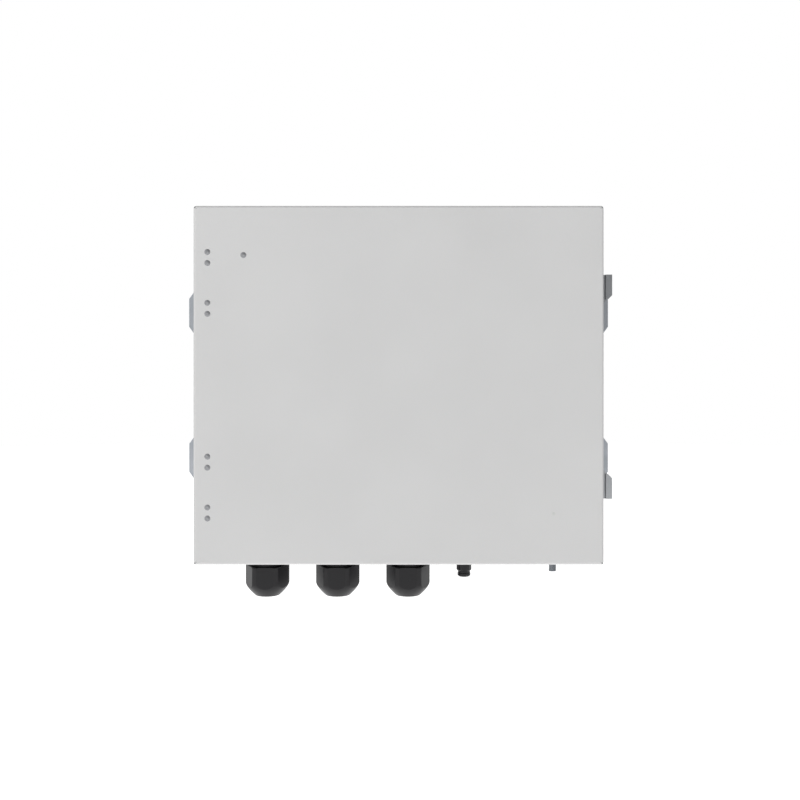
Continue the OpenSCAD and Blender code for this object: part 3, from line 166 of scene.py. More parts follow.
powder_coat = make_powder_coat("polyester_powder_coat_on_steel", "#CACACA", "#C7C7C7")
finish_cad(powder_coat, "enclosure_body", "door_panel")


# ---------------------------------------------------------------- Zinc-plated steel
# The wall rails, the mounting plate, the DIN rail and the screws and nuts are
# mild steel with bright zinc. Barrel plating leaves a faint mottle with a
# bluish tint, and rolling leaves fine lines along the sheet.
def make_rolled_metal(name, bright, dull, grain_axis, smooth=0.32):
    """Plated steel or drawn copper and brass: fine lines 0.5 mm apart, a mottle 14 mm wide."""
    material, place = new_material(name)
    mottle = add_node(
        material, "ShaderNodeTexNoise", {"Vector": place, "Scale": per(14), "Detail": 5.0}
    )
    stretch = [1.0, 1.0, 1.0]
    stretch[grain_axis] = 0.03
    along = add_node(material, "ShaderNodeMapping", {"Vector": place, "Scale": stretch})
    lines = add_node(
        material, "ShaderNodeTexNoise",
        {"Vector": along.outputs["Vector"], "Scale": per(0.5), "Detail": 3.0},
    )
    tint = add_node(
        material, "ShaderNodeValToRGB", {"Fac": mottle.outputs["Fac"]},
        ramp=((0.35, linear(dull)), (0.7, linear(bright))),
    ).outputs["Color"]
    gloss = add_node(
        material, "ShaderNodeMapRange",
        {"Value": mottle.outputs["Fac"], "To Min": smooth + 0.1, "To Max": smooth - 0.04},
    )
    bump = add_node(
        material, "ShaderNodeBump",
        {"Height": lines.outputs["Fac"], "Strength": 0.25, "Distance": 0.03 * MM},
    )
    shader = add_node(
        material, "ShaderNodeBsdfPrincipled",
        {
            "Base Color": tint,
            "Metallic": 1.0,
            "Roughness": gloss.outputs["Result"],
            "Normal": bump.outputs["Normal"],
        },
    )
    return finish_material(material, shader)


zinc_sheet = make_rolled_metal("zinc_plated_rolled_steel", "#AEB2B8", "#A2A7AD", 0)
finish_cad(zinc_sheet, "wall_rail_upper", "wall_rail_lower", "mounting_plate", "din_rail")
zinc_screws = make_rolled_metal("zinc_plated_turned_steel", "#A9ACB0", "#8C8F94", 1, 0.3)
finish_cad(
    zinc_screws, "frame_nuts", "plate_spacers", "plate_screws", "earth_bar_screws",
    "earth_stud", "earth_stud_nuts", "body_screws", "end_clamps", "cable_lugs",
)


# ---------------------------------------------------------------- Stainless steel
# The latches, keepers, hinge parts and rivets are pressed or turned from
# 304 stainless steel. Pressed parts are belt-brushed along their length.
def make_brushed_metal(name, bright, dull, grain_axis, rough):
    """Brushed 304 stainless steel: scratches drawn 0.35 mm apart so that they show."""
    material, place = new_material(name)
    stretch = [1.0, 1.0, 1.0]
    stretch[grain_axis] = 0.02
    along = add_node(material, "ShaderNodeMapping", {"Vector": place, "Scale": stretch})
    scratches = add_node(
        material, "ShaderNodeTexNoise",
        {"Vector": along.outputs["Vector"], "Scale": per(0.35), "Detail": 4.0},
    )
    tint = add_node(
        material, "ShaderNodeValToRGB", {"Fac": scratches.outputs["Fac"]},
        ramp=((0.3, linear(dull)), (0.7, linear(bright))),
    ).outputs["Color"]
    gloss = add_node(
        material, "ShaderNodeMapRange",
        {"Value": scratches.outputs["Fac"], "To Min": rough - 0.07, "To Max": rough + 0.08},
    )
    bump = add_node(
        material, "ShaderNodeBump",
        {"Height": scratches.outputs["Fac"], "Strength": 0.3, "Distance": 0.02 * MM},
    )
    shader = add_node(
        material, "ShaderNodeBsdfPrincipled",
        {
            "Base Color": tint,
            "Metallic": 1.0,
            "Roughness": gloss.outputs["Result"],
            "Anisotropic": 0.4,
            "Normal": bump.outputs["Normal"],
        },
    )
    return finish_material(material, shader)


brushed_steel = make_brushed_metal("brushed_stainless_steel", "#AEB0B2", "#93969A", 1, 0.34)
finish_cad(
    brushed_steel, "latch_bases", "latch_lever_upper", "latch_lever_lower",
    "latch_claw_upper", "latch_claw_lower", "keepers", "hinge_brackets", "hinge_arms",
)
turned_steel = make_brushed_metal("turned_stainless_steel", "#A6A7A9", "#96979A", 2, 0.62)
finish_cad(turned_steel, "door_rivets", "hinge_pins", "latch_pins")


# ---------------------------------------------------------------- Mouldings
# The glands are black polyamide 6, the duct is rigid PVC and the switchgear
# housings are glass-filled polyamide. Their moulds are spark-eroded, which
# leaves a fine even grain, and the duct shows faint lines along its length.
def make_moulding(
    name, colour, grain_mm, rough, depth_mm=0.03, flow=(1.0, 1.0, 1.0), sheen=0.5, band=None
):
    """A moulded or extruded plastic with a fine grain and slightly uneven gloss."""
    material, place = new_material(name)
    spread = add_node(material, "ShaderNodeMapping", {"Vector": place, "Scale": flow})
    grain = add_node(
        material, "ShaderNodeTexNoise",
        {"Vector": spread.outputs["Vector"], "Scale": per(grain_mm), "Detail": 2.0},
    )
    cloud = add_node(
        material, "ShaderNodeTexNoise", {"Vector": place, "Scale": per(25), "Detail": 3.0}
    )
    base = linear(colour)
    darker = (*[c * 0.96 for c in base[:3]], 1.0)
    lighter = (*[min(1.0, c * 1.03) for c in base[:3]], 1.0)
    tint = add_node(
        material, "ShaderNodeValToRGB", {"Fac": cloud.outputs["Fac"]},
        ramp=((0.3, darker), (0.7, lighter)),
    ).outputs["Color"]
    if band:
        # The two colours of the insulation each take half of the way round
        outward = add_node(material, "ShaderNodeTexCoord").outputs["Normal"]
        side = add_node(
            material, "ShaderNodeVectorMath",
            {0: outward, 1: (0.62, 0.51, 0.6)}, operation="DOT_PRODUCT",
        )
        half = add_node(
            material, "ShaderNodeMath", {0: side.outputs["Value"], 1: 0.0},
            operation="GREATER_THAN",
        )
        mixed = add_node(
            material, "ShaderNodeMix",
            {"Factor": half.outputs["Value"], 6: tint, 7: linear(band)}, data_type="RGBA",
        )
        tint = mixed.outputs[2]
    gloss = add_node(
        material, "ShaderNodeMapRange",
        {"Value": cloud.outputs["Fac"], "To Min": rough - 0.03, "To Max": rough + 0.03},
    )
    bump = add_node(
        material, "ShaderNodeBump",
        {"Height": grain.outputs["Fac"], "Strength": 0.4, "Distance": depth_mm * MM},
    )
    shader = add_node(
        material, "ShaderNodeBsdfPrincipled",
        {
            "Base Color": tint,
            "Roughness": gloss.outputs["Result"],
            "IOR": 1.5,
            "Specular IOR Level": sheen,
            "Normal": bump.outputs["Normal"],
        },
    )
    return finish_material(material, shader)


black_polyamide = make_moulding("moulded_black_polyamide", "#121114", 0.5, 0.32, sheen=0.32)
finish_cad(
    black_polyamide, "gland_bodies", "gland_cap_1", "gland_cap_2", "gland_cap_3",
    "gland_locknuts", "small_gland_body", "small_gland_cap", "small_gland_plug",
)
black_rubber = make_moulding("moulded_chloroprene_rubber", "#1E1E20", 0.8, 0.68, 0.06)
finish_cad(black_rubber, "gland_inserts")
grey_pvc = make_moulding(
    "extruded_grey_pvc", "#9A9DA0", 0.8, 0.42, 0.03, (0.02, 1.0, 1.0)
)
finish_cad(grey_pvc, "cable_duct", "duct_cover")
grey_housing = make_moulding("moulded_light_grey_polyamide", "#D6D7D2", 0.6, 0.46)
finish_cad(
    grey_housing, "fuse_base_1", "fuse_base_2", "fuse_base_3", "surge_base",
    "fuse_carrier_1", "fuse_carrier_2", "fuse_carrier_3", "busbar_carrier",
)
dark_housing = make_moulding("moulded_dark_grey_polyamide", "#4A4C50", 0.6, 0.45)
finish_cad(dark_housing, "switch_body")
red_plastic = make_moulding("moulded_red_abs", "#B3241C", 0.7, 0.36)
finish_cad(red_plastic, "switch_handle", "surge_cartridge_1")
blue_plastic = make_moulding("moulded_blue_abs", "#1F4E8C", 0.7, 0.36)
finish_cad(blue_plastic, "surge_cartridge_2")
pocket_plastic = make_moulding("moulded_grey_polystyrene", "#C2C4C2", 0.9, 0.4)
finish_cad(pocket_plastic, "document_pocket")
red_insulation = make_moulding("extruded_red_pvc_insulation", "#A81E18", 0.8, 0.4)
finish_cad(red_insulation, "positive_wires")
black_insulation = make_moulding("extruded_black_pvc_insulation", "#232326", 0.8, 0.4)
finish_cad(black_insulation, "negative_wires")
green_insulation = make_moulding(
    "extruded_green_and_yellow_pvc_insulation", "#3C8A35", 0.8, 0.4, band="#D9C21E"
)
finish_cad(green_insulation, "earth_wires")
ceramic = make_moulding("glazed_steatite", "#E4E0D6", 1.5, 0.2)
finish_cad(ceramic, "fuse_links_1", "fuse_links_2", "fuse_links_3")
foam = make_moulding("foamed_polyurethane", "#2E2F31", 1.0, 0.85, 0.2)
finish_cad(foam, "door_gasket")
copper = make_rolled_metal("drawn_copper", "#C98A63", "#A9653F", 0, 0.3)
finish_cad(copper, "busbar_positive", "busbar_negative")
brass = make_rolled_metal("drawn_brass", "#C9AA62", "#B08F4A", 0, 0.3)
finish_cad(brass, "earth_bar")


# ---------------------------------------------------------------- Softened edges
# Sheared sheet is deburred and a moulding's edges are rounded by its mould.
# These pieces have the CAD part's own shape, with its sharp edges rounded over.
record = frame["record"]
body_of_node = {n: b for b, names in record["behaviour"]["bodies"].items() for n in names}


def add_piece(name, mesh, body, *materials):
    """Makes a bmesh a named piece that rides on a body; its place is in its mesh."""
    data = bpy.data.meshes.new(name)
    mesh.to_mesh(data)
    mesh.free()
    for material in materials:
        data.materials.append(material)
    data.shade_smooth()
    data.set_sharp_from_angle(angle=math.radians(35))
    piece = bpy.data.objects.new(name, data)
    bpy.context.collection.objects.link(piece)
    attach(piece, body)
    return piece


def soften(node, radius_mm, segments=2, sharp_degrees=25):
    """Shows a copy of a CAD node with rounded edges in the node's own material."""
    mesh = bmesh.new()
    mesh.from_mesh(cad[node].data)
    bmesh.ops.remove_doubles(mesh, verts=mesh.verts, dist=0.001 * MM)
    bmesh.ops.dissolve_limit(
        mesh, angle_limit=math.radians(0.6), verts=mesh.verts, edges=mesh.edges
    )
    sharp = [
        e for e in mesh.edges
        if len(e.link_faces) == 2 and e.calc_face_angle() > math.radians(sharp_degrees)
    ]
    bmesh.ops.bevel(
        mesh, geom=sharp, offset=radius_mm * MM, segments=segments, profile=0.5,
        affect="EDGES", clamp_overlap=True, material=-1,
    )
    material = cad[node].material_slots[0].material
    piece = add_piece(f"{node}_rounded", mesh, body_of_node[node], material)
    weights = piece.modifiers.new("flat_faces_stay_flat", "WEIGHTED_NORMAL")
    weights.keep_sharp = True
    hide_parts(node)


EDGE_RADII = {
    0.7: ("gland_cap_1", "gland_cap_2", "gland_cap_3", "switch_handle"),
    0.4: ("gland_bodies", "small_gland_body", "small_gland_cap", "fuse_carrier_1",
          "fuse_carrier_2", "fuse_carrier_3", "surge_cartridge_1", "surge_cartridge_2",
          "earth_bar", "duct_cover", "busbar_carrier", "end_clamps"),
    0.3: ("fuse_base_1", "fuse_base_2", "fuse_base_3", "switch_body", "surge_base",
          "wall_rail_upper", "wall_rail_lower", "document_pocket"),
    0.2: ("latch_lever_upper", "latch_lever_lower", "latch_claw_upper", "latch_claw_lower",
          "keepers", "latch_bases", "hinge_arms", "hinge_brackets"),
}
for edge_radius, softened in EDGE_RADII.items():
    for node in softened:
        soften(node, edge_radius)


# ---------------------------------------------------------------- Door corners
# Each corner of the folded door is closed by a short welded post, which is seen through the small
# relief hole in the skin. The post's dark grey is painted shade, standing for the dim inside of
# the relief hole.
post_painted_shade = make_moulding("corner_post_painted_shade_grey", "#77787A", 1.2, 0.6, 0.15)
door_low, door_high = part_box("door_panel")
POST_R, POST_IN = 2.1 * MM, 2.3 * MM
POST_LEN, POST_BACK, POST_EDGE = 17 * MM, 10.3 * MM, 0.4 * MM
posts = bmesh.new()
for x in (door_low[0] + POST_IN, door_high[0] - POST_IN):
    for z in (door_low[2] + POST_IN, door_high[2] - POST_IN):
        made = bmesh.ops.create_cone(
            posts, cap_ends=True, segments=24, radius1=POST_R, radius2=POST_R, depth=POST_LEN
        )
        turn = Matrix.Rotation(math.pi / 2, 4, "X")
        place = Matrix.Translation((x, door_low[1] + POST_BACK, z))
        bmesh.ops.transform(posts, matrix=place @ turn, verts=made["verts"])
bmesh.ops.bevel(
    posts, geom=[e for e in posts.edges if e.calc_face_angle() > 1], offset=POST_EDGE,
    segments=2, profile=0.5, affect="EDGES", material=-1,
)
add_piece("door_corner_posts", posts, "door", post_painted_shade)


# ---------------------------------------------------------------- Rivet mandrels
# A blind rivet keeps the broken end of its steel mandrel in the middle of its head. The mandrel's
# grey is brighter than the head's, a painted highlight standing for the lit crown of each domed
# head.
mandrel_painted_highlight_steel = make_brushed_metal("broken_steel_mandrel_painted_highlight", "#C2C3C5", "#AEAFB1", 0, 0.5)
RIVET_X, HINGE_Z, BRACKET_UP, RIVET_UP = -186.15, 99.6, 24.75, 5.35
rivet_faces = [
    (RIVET_X, hinge * HINGE_Z + bracket * BRACKET_UP + rivet * RIVET_UP)
    for hinge in (-1, 1) for bracket in (-1, 1) for rivet in (-1, 1)
]
LONE_RIVET = (-151.1, 126.7)
rivet_faces.append(LONE_RIVET)
MANDREL_R, MANDREL_OUT = 0.85, 150.5
mandrels = bmesh.new()
for x, z in rivet_faces:
    made = bmesh.ops.create_uvsphere(mandrels, u_segments=16, v_segments=8, radius=MANDREL_R * MM)
    bmesh.ops.scale(mandrels, vec=(1, 0.5, 1), verts=made["verts"])
    bmesh.ops.translate(mandrels, vec=Vector((x, -MANDREL_OUT, z)) * MM, verts=made["verts"])
add_piece("rivet_mandrels", mandrels, "door", mandrel_painted_highlight_steel)


# ---------------------------------------------------------------- Terminal screws
# Every terminal has a cross-recessed steel screw down in its funnel. The screws
# are cold-headed and zinc-plated, and are turned with a number 2 driver.
def at(x, z, out):
    """A point from its place on the wall and its distance from the wall, all in millimetres."""
    return Vector((x, -out, z)) * MM


def add_cross_head(mesh, seat, radius, height, away=Vector((0, -1, 0))):
    """A pan head with a cross recess. The seat is its underside's centre, away its direction."""
    slot, arm, edge = radius * 0.13, radius * 0.52, radius * 0.66
    lines = (-edge, -arm, -slot, slot, arm, edge)
    cells = len(lines) - 1
    made = bmesh.ops.create_grid(mesh, x_segments=cells, y_segments=cells, size=1)["verts"]
    for v in made:
        column, row = (round((c + 1) * cells / 2) for c in v.co.xy)
        v.co = (lines[column], lines[row], height)
    faces = {f for v in made for f in v.link_faces}
    middle = [f.calc_center_median() for f in faces]
    recess = [
        f for f, c in zip(faces, middle)
        if min(abs(c.x), abs(c.y)) < slot and max(abs(c.x), abs(c.y)) < arm
    ]
    rim = [e for e in {e for v in made for e in v.link_edges} if e.is_boundary]
    sunk = bmesh.ops.extrude_face_region(mesh, geom=recess)["geom"]
    sunk = [g for g in sunk if isinstance(g, bmesh.types.BMVert)]
    for v in sunk:
        v.co = (v.co.x * 0.7, v.co.y * 0.7, height * 0.45)
    bmesh.ops.delete(mesh, geom=recess, context="FACES_ONLY")
    made += sunk
    for share, level in ((0.86, 0.96), (1.0, 0.66), (1.0, 0.0)):
        ring = bmesh.ops.extrude_edge_only(mesh, edges=rim)["geom"]
        rim = [g for g in ring if isinstance(g, bmesh.types.BMEdge)]
        for v in (g for g in ring if isinstance(g, bmesh.types.BMVert)):
            flat = v.co.xy.normalized() * radius * share
            v.co = (*flat, height * level)
            made.append(v)
    turn = Vector((0, 0, 1)).rotation_difference(away).to_matrix().to_4x4()
    bmesh.ops.transform(mesh, matrix=Matrix.Translation(seat) @ turn, verts=made)


def add_screws(name, seats, radius, height):
    """One piece with all the cross-headed screws of one device, given by their seats."""
    mesh = bmesh.new()
    for seat in seats:
        add_cross_head(mesh, seat, radius * MM, height * MM)
    bmesh.ops.recalc_face_normals(mesh, faces=mesh.faces)
    return add_piece(name, mesh, "box", zinc_screws)


RAIL_Z = 40
SCREW_SEAT = 57.5
POLE = 9
FIRST_FUSE_X, FUSE_W = -114, 36
FUSE_X = [FIRST_FUSE_X + FUSE_W * i for i in range(3)]
FUSE_SCREW_UP, SWITCH_SCREW_UP, SURGE_SCREW_UP = 34, 37, 39
TERMINAL_HEAD_R, TERMINAL_HEAD_H = 2.8, 2.4
SWITCH_X, SWITCH_POLE = 34, 18
SURGE_X = 98
for number, x in enumerate(FUSE_X, 1):
    fuse_seats = [
        at(x + s * POLE, RAIL_Z + t * FUSE_SCREW_UP, SCREW_SEAT) for s in (-1, 1) for t in (-1, 1)
    ]
    add_screws(f"fuse_terminal_screws_{number}", fuse_seats, TERMINAL_HEAD_R, TERMINAL_HEAD_H)
switch_seats = [
    at(SWITCH_X + i * SWITCH_POLE, RAIL_Z + t * SWITCH_SCREW_UP, SCREW_SEAT)
    for i in (-1.5, -0.5, 0.5, 1.5) for t in (-1, 1)
]
add_screws("switch_terminal_screws", switch_seats, TERMINAL_HEAD_R, TERMINAL_HEAD_H)
surge_seats = [
    at(SURGE_X + s * POLE, RAIL_Z + t * SURGE_SCREW_UP, SCREW_SEAT)
    for s, t in ((-1, 1), (1, 1), (0, -1))
]
add_screws("surge_terminal_screws", surge_seats, TERMINAL_HEAD_R, TERMINAL_HEAD_H)


# ---------------------------------------------------------------- Fuse links
# A cylindrical 10 x 38 mm solar fuse is a glazed steatite tube with a
# nickel-plated copper cap pressed on each end. Two lie in each carrier.
def spin_solid(mesh, outline, segments=48):
    """A closed ring or solid turned round Z from its outline of (radius, height), in metres."""
    dots = [mesh.verts.new((r, 0, h)) for r, h in outline]
    lines = [mesh.edges.new((a, b)) for a, b in zip(dots, dots[1:] + dots[:1])]
    spun = bmesh.ops.spin(
        mesh, geom=dots + lines, cent=(0, 0, 0), axis=(0, 0, 1),
        angle=math.tau, steps=segments, use_merge=True,
    )
    return list({v for f in mesh.faces for v in f.verts})


def arc(centre_r, centre_h, radius, start, end, steps=4):
    """Points of an arc in an outline, from one angle to another in degrees."""
    angles = [math.radians(start + (end - start) * i / steps) for i in range(steps + 1)]
    return [(centre_r + radius * math.cos(a), centre_h + radius * math.sin(a)) for a in angles]


nickel = make_brushed_metal("nickel_plated_copper", "#C4C3BD", "#AFAEA8", 2, 0.22)
TUBE_R, CAP_R, LINK_HALF, CAP_LEN = 4.75 * MM, 5.15 * MM, 19 * MM, 9.5 * MM
DIMPLE_R, LINK_OUT = 2.6 * MM, 58.5
link_outline = [
    (0.0, LINK_HALF - 0.5 * MM), (DIMPLE_R, LINK_HALF - 0.5 * MM),
    (DIMPLE_R + 0.4 * MM, LINK_HALF),
    *arc(CAP_R - 0.8 * MM, LINK_HALF - 0.8 * MM, 0.8 * MM, 90, 0),
    (CAP_R, LINK_HALF - CAP_LEN + 2.6 * MM), (CAP_R - 0.25 * MM, LINK_HALF - CAP_LEN + 2.2 * MM),
    (CAP_R, LINK_HALF - CAP_LEN + 1.8 * MM), (CAP_R, LINK_HALF - CAP_LEN + 0.2 * MM),
    (CAP_R - 0.2 * MM, LINK_HALF - CAP_LEN), (TUBE_R, LINK_HALF - CAP_LEN),
]
link_outline += [(r, -h) for r, h in reversed(link_outline)]
for number, x in enumerate(FUSE_X, 1):
    links = bmesh.new()
    for s in (-1, 1):
        one = bmesh.new()
        spin_solid(one, link_outline)
        bmesh.ops.remove_doubles(one, verts=one.verts, dist=0.01 * MM)
        bmesh.ops.recalc_face_normals(one, faces=one.faces)
        bmesh.ops.translate(one, vec=at(x + s * POLE, RAIL_Z, LINK_OUT), verts=one.verts)
        for face in one.faces:
            away = abs(face.calc_center_median().z - RAIL_Z * MM)
            face.material_index = int(away > LINK_HALF - CAP_LEN)
        holder = bpy.data.meshes.new("one_link")
        one.to_mesh(holder)
        one.free()
        links.from_mesh(holder)
        bpy.data.meshes.remove(holder)
    piece = add_piece(f"fuse_link_pair_{number}", links, f"carrier_{number}", ceramic, nickel)
    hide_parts(f"fuse_links_{number}")


# ---------------------------------------------------------------- Carrier trim
# Each fuse carrier has two blown-fuse lamps behind clear red lenses, and finger
# ribs on its raised lip. The ribs are part of the moulding.
lamp_red = make_moulding("clear_red_polycarbonate_lens", "#D2382A", 2.0, 0.12)
LENS_R, LENS_UP, LENS_OUT = 1.9 * MM, 7, 77.1
RIB_COUNT, RIB_W, RIB_T, RIB_STEP, FIRST_RIB_UP, RIB_OUT = 4, 26, 1.0, 2.1, 13.2, 82.6
for number, x in enumerate(FUSE_X, 1):
    lenses = bmesh.new()
    for s in (-1, 1):
        made = bmesh.ops.create_uvsphere(lenses, u_segments=24, v_segments=12, radius=LENS_R)
        bmesh.ops.scale(lenses, vec=(1, 1.3, 1), verts=made["verts"])
        lens_place = at(x + s * POLE, RAIL_Z + LENS_UP, LENS_OUT)
        bmesh.ops.translate(lenses, vec=lens_place, verts=made["verts"])
    add_piece(f"fuse_lamp_lenses_{number}", lenses, f"carrier_{number}", lamp_red)
    ribs = bmesh.new()
    for k in range(RIB_COUNT):
        made = bmesh.ops.create_cube(ribs, size=1)
        bmesh.ops.scale(ribs, vec=(RIB_W * MM, RIB_T * MM, RIB_T * MM), verts=made["verts"])
        rib_place = at(x, RAIL_Z + FIRST_RIB_UP + RIB_STEP * k, RIB_OUT)
        bmesh.ops.translate(ribs, vec=rib_place, verts=made["verts"])
    bmesh.ops.bevel(
        ribs, geom=ribs.edges[:], offset=0.35 * MM, segments=3, profile=0.5,
        affect="EDGES", material=-1,
    )
    add_piece(f"carrier_finger_ribs_{number}", ribs, f"carrier_{number}", grey_housing)


# ---------------------------------------------------------------- Surge flags
# Each surge cartridge shows a green flag behind a clear polycarbonate window
# while it is good. The window is snapped into the front of the cartridge.
flag_green = make_moulding("green_flag_behind_clear_polycarbonate", "#2F9A4A", 2.0, 0.1)
FLAG_W, FLAG_T, FLAG_H, FLAG_OUT = 8.6, 0.9, 13.2, 82.0
for number, s in ((1, -1), (2, 1)):
    flag = bmesh.new()
    made = bmesh.ops.create_cube(flag, size=1)
    bmesh.ops.scale(flag, vec=(FLAG_W * MM, FLAG_T * MM, FLAG_H * MM), verts=made["verts"])
    bmesh.ops.bevel(
        flag, geom=flag.edges[:], offset=0.3 * MM, segments=3, profile=0.5,
        affect="EDGES", material=-1,
    )
    bmesh.ops.translate(flag, vec=at(SURGE_X + s * POLE, RAIL_Z, FLAG_OUT), verts=flag.verts)
    add_piece(f"surge_flag_{number}", flag, f"cartridge_{number}", flag_green)


# ---------------------------------------------------------------- Gland inserts
# The seal in each large gland is a moulded rubber ring. The cap nut squeezes
# it on the cable. Its ends are rounded and it has a shallow groove inside.
INSERT_R, MOUTH_R, BORE_R = 12.35 * MM, 11.3 * MM, 9.0 * MM
for number in (1, 2, 3):
    cap_low, cap_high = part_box(f"gland_cap_{number}")
    all_low, all_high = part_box("gland_inserts")
    ring = bmesh.new()
    tall = all_high[2] - all_low[2]
    seat = 5.5 * MM
    outline = [
        *arc(BORE_R + 0.8 * MM, 0.8 * MM, 0.8 * MM, 180, 270),
        *arc(MOUTH_R - 0.6 * MM, 0.6 * MM, 0.6 * MM, 270, 360),
        (MOUTH_R, seat), (INSERT_R, seat + 0.2 * MM),
        (INSERT_R, tall - 0.6 * MM), (INSERT_R - 0.6 * MM, tall),
        (BORE_R + 0.8 * MM, tall), (BORE_R, tall - 0.8 * MM),
        *[(BORE_R + (0.25 * MM if k % 2 else 0.0), tall * (0.8 - 0.07 * k)) for k in range(9)],
    ]
    spin_solid(ring, outline)
    bmesh.ops.remove_doubles(ring, verts=ring.verts, dist=0.01 * MM)
    bmesh.ops.recalc_face_normals(ring, faces=ring.faces)
    centre = Vector(((cap_low[0] + cap_high[0]) / 2, (cap_low[1] + cap_high[1]) / 2, all_low[2]))
    bmesh.ops.translate(ring, vec=centre, verts=ring.verts)
    seal = add_piece(f"gland_seal_{number}", ring, "box", black_rubber)
    if number == 1:
        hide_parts("gland_inserts")


# ---------------------------------------------------------------- Door gasket
# The seal inside the door is polyurethane foam, poured in place as one closed
# bead. It has a rounded crown and a matt skin with fine open cells.
gasket_low, gasket_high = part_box("door_gasket")
BEAD_W, CORNER_R = 10 * MM, 12 * MM
bead_h = gasket_high[1] - gasket_low[1]
half_x = gasket_high[0] - BEAD_W / 2
half_z = gasket_high[2] - BEAD_W / 2
centre_z = (gasket_high[2] + gasket_low[2]) / 2
bead = bmesh.new()
crown = [(BEAD_W / 2 * math.cos(a), 0.35 * bead_h + 0.65 * bead_h * math.sin(a))
         for a in (math.pi * k / 12 for k in range(13))]
section = [(BEAD_W / 2, 0.0), *crown, (-BEAD_W / 2, 0.0)]
start = [bead.verts.new((half_x + across, gasket_low[1] + up, 0.0)) for across, up in section]
edges = [bead.edges.new((a, b)) for a, b in zip(start, start[1:] + start[:1])]
side_x, side_z = half_x - CORNER_R, half_z - CORNER_R
runs = [((0, 0, side_z), (side_x, side_z)), ((-2 * side_x, 0, 0), (-side_x, side_z)),
        ((0, 0, -2 * side_z), (-side_x, -side_z)), ((2 * side_x, 0, 0), (side_x, -side_z)),
        ((0, 0, side_z), None)]
geometry = start + edges
for run, corner in runs:
    outline_edges = [g for g in geometry if isinstance(g, bmesh.types.BMEdge)]
    made = bmesh.ops.extrude_edge_only(bead, edges=outline_edges)["geom"]
    geometry = [g for g in made if not isinstance(g, bmesh.types.BMFace)]
    moved = [g for g in geometry if isinstance(g, bmesh.types.BMVert)]
    bmesh.ops.translate(bead, vec=run, verts=moved)
    if corner:
        spun = bmesh.ops.spin(
            bead, geom=geometry, cent=(corner[0], 0, corner[1]), axis=(0, -1, 0),
            angle=math.pi / 2, steps=8,
        )
        geometry = [g for g in spun["geom_last"] if not isinstance(g, bmesh.types.BMFace)]
bmesh.ops.remove_doubles(bead, verts=bead.verts, dist=0.05 * MM)
bmesh.ops.translate(bead, vec=(0, 0, centre_z), verts=bead.verts)
bmesh.ops.recalc_face_normals(bead, faces=bead.faces)
gasket = add_piece("door_seal_bead", bead, "door", foam)
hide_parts("door_gasket")


# ---------------------------------------------------------------- Earth stud thread
# The earth stud is zinc-plated M8 with a rolled thread of 1.25 mm pitch, and
# goes through the underside of the body between two nuts.
PITCH, STUD_R = 1.25 * MM, 4.0 * MM
stud_low, stud_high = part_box("earth_stud")
stud = bmesh.new()
ROOT_R = STUD_R - 0.65 * MM
profile = [(ROOT_R, 0), (STUD_R, 0.42), (STUD_R, 0.55), (ROOT_R, 0.95), (ROOT_R, 1.0)]
dots = [stud.verts.new((r, 0, share * PITCH)) for r, share in profile]
lines = [stud.edges.new(pair) for pair in zip(dots, dots[1:])]
turns = math.ceil((stud_high[2] - stud_low[2]) / PITCH) + 2
steps = 24
bmesh.ops.spin(
    stud, geom=dots + lines, cent=(0, 0, 0), axis=(0, 0, 1), dvec=(0, 0, PITCH / steps),
    angle=math.tau * turns, steps=steps * turns,
)
bmesh.ops.remove_doubles(stud, verts=stud.verts, dist=0.01 * MM)
bmesh.ops.translate(stud, vec=(0, 0, stud_low[2] - PITCH), verts=stud.verts)
for level, side in ((stud_low[2] + 0.02 * MM, -1), (stud_high[2], 1)):
    bmesh.ops.bisect_plane(
        stud, geom=stud.verts[:] + stud.edges[:] + stud.faces[:],
        plane_co=(0, 0, level), plane_no=(0, 0, side), clear_outer=True,
    )
    rim = [
        e for e in stud.edges
        if e.is_boundary and all(abs(end.co.z - level) < 1e-6 for end in e.verts)
    ]
    bmesh.ops.contextual_create(stud, geom=rim)
bmesh.ops.recalc_face_normals(stud, faces=stud.faces)
stud_centre = ((stud_low[0] + stud_high[0]) / 2, (stud_low[1] + stud_high[1]) / 2, 0)
bmesh.ops.translate(stud, vec=stud_centre, verts=stud.verts)
thread = add_piece("earth_stud_thread", stud, "box", zinc_screws)
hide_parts("earth_stud")


# ---------------------------------------------------------------- Room
# A plain pale floor below the box, a soft bright room, one large soft lamp to
# the upper left, and the camera in front of the middle of the door.
FLOOR_R, FLOOR_BELOW = 12.0, 0.55
floor_mesh = bmesh.new()
bmesh.ops.create_circle(floor_mesh, cap_ends=True, segments=64, radius=FLOOR_R)
floor_drop = (0, 0, cad_box[0][2] - FLOOR_BELOW)
bmesh.ops.translate(floor_mesh, vec=floor_drop, verts=floor_mesh.verts)
floor_data = bpy.data.meshes.new("studio_floor")
floor_mesh.to_mesh(floor_data)
floor_mesh.free()
floor = bpy.data.objects.new("studio_floor", floor_data)
bpy.context.collection.objects.link(floor)
floor_paint = new_material("matt_white_floor_paint")[0]
floor_shader = add_node(
    floor_paint, "ShaderNodeBsdfPrincipled",
    {
        "Base Color": linear("#F6F6F5"),
        "Roughness": 0.9,
        "Emission Color": linear("#FFFFFF"),
        "Emission Strength": 0.8,
    },
)
finish_material(floor_paint, floor_shader)
floor_data.materials.append(floor_paint)

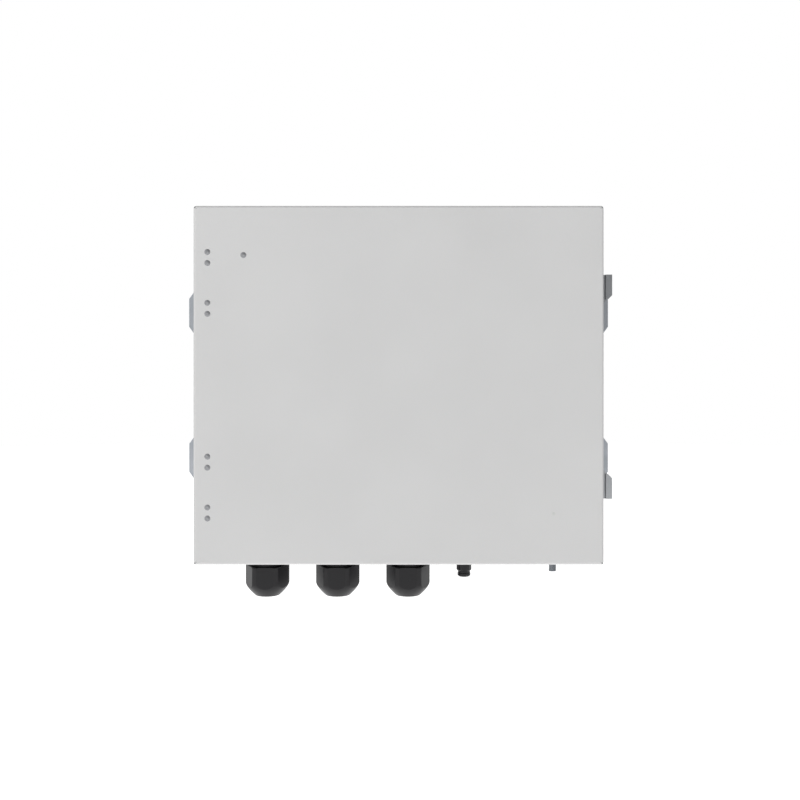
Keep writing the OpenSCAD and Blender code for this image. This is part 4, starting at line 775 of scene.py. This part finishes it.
room = bpy.data.worlds.new("bright_room")
bpy.context.scene.world = room
room.use_nodes = True
room.node_tree.nodes.clear()
direction = add_node(room, "ShaderNodeTexCoord").outputs["Generated"]
# The room is brightest to the upper left and dim to the lower right
towards = add_node(
    room, "ShaderNodeVectorMath",
    {0: direction, 1: Vector((-0.75, -0.15, 0.65)).normalized()}, operation="DOT_PRODUCT",
)
rise = add_node(
    room, "ShaderNodeMapRange",
    {"Value": towards.outputs["Value"], "From Min": -1.0, "From Max": 1.0},
)
walls = add_node(
    room, "ShaderNodeValToRGB", {"Fac": rise.outputs["Result"]},
    ramp=((0.1, linear("#4C4C4E")), (0.9, linear("#FFFFFF"))),
).outputs["Color"]
seen = add_node(room, "ShaderNodeLightPath").outputs["Is Camera Ray"]
lit = add_node(room, "ShaderNodeBackground", {"Color": walls, "Strength": 0.62})
white = add_node(room, "ShaderNodeBackground", {"Color": linear("#FFFFFF"), "Strength": 1.0})
mixed = add_node(room, "ShaderNodeMixShader", {0: seen, 1: lit.outputs[0], 2: white.outputs[0]})
add_node(room, "ShaderNodeOutputWorld", {"Surface": mixed.outputs[0]})


def add_lamp(name, place, size, power):
    """A square soft lamp that looks at the middle of the door."""
    data = bpy.data.lights.new(name, "AREA")
    data.size = size
    data.energy = power
    lamp = bpy.data.objects.new(name, data)
    lamp.location = place
    lamp.rotation_euler = (-Vector(place)).to_track_quat("-Z", "Y").to_euler()
    bpy.context.collection.objects.link(lamp)


door_front = cad_box[0][1]
add_lamp("key_lamp", (-2.4, -3.4, 1.6), 1.6, 42)
add_lamp("fill_lamp", (2.6, -3.0, -0.2), 1.6, 5)

# The eye stood 940 mm in front of the door, on the door's own axis
EYE_TO_DOOR = 0.94
camera_data = bpy.data.cameras.new("camera")
camera_data.sensor_width = 36
camera_data.lens = 43.5
camera_data.shift_x = 0.0018
camera_data.shift_y = -0.0184
camera = bpy.data.objects.new("camera", camera_data)
camera.location = (0, door_front - EYE_TO_DOOR, 0)
camera.rotation_euler = (math.pi / 2, 0, 0)
bpy.context.collection.objects.link(camera)
bpy.context.scene.camera = camera
bpy.context.scene.view_settings.view_transform = "Standard"
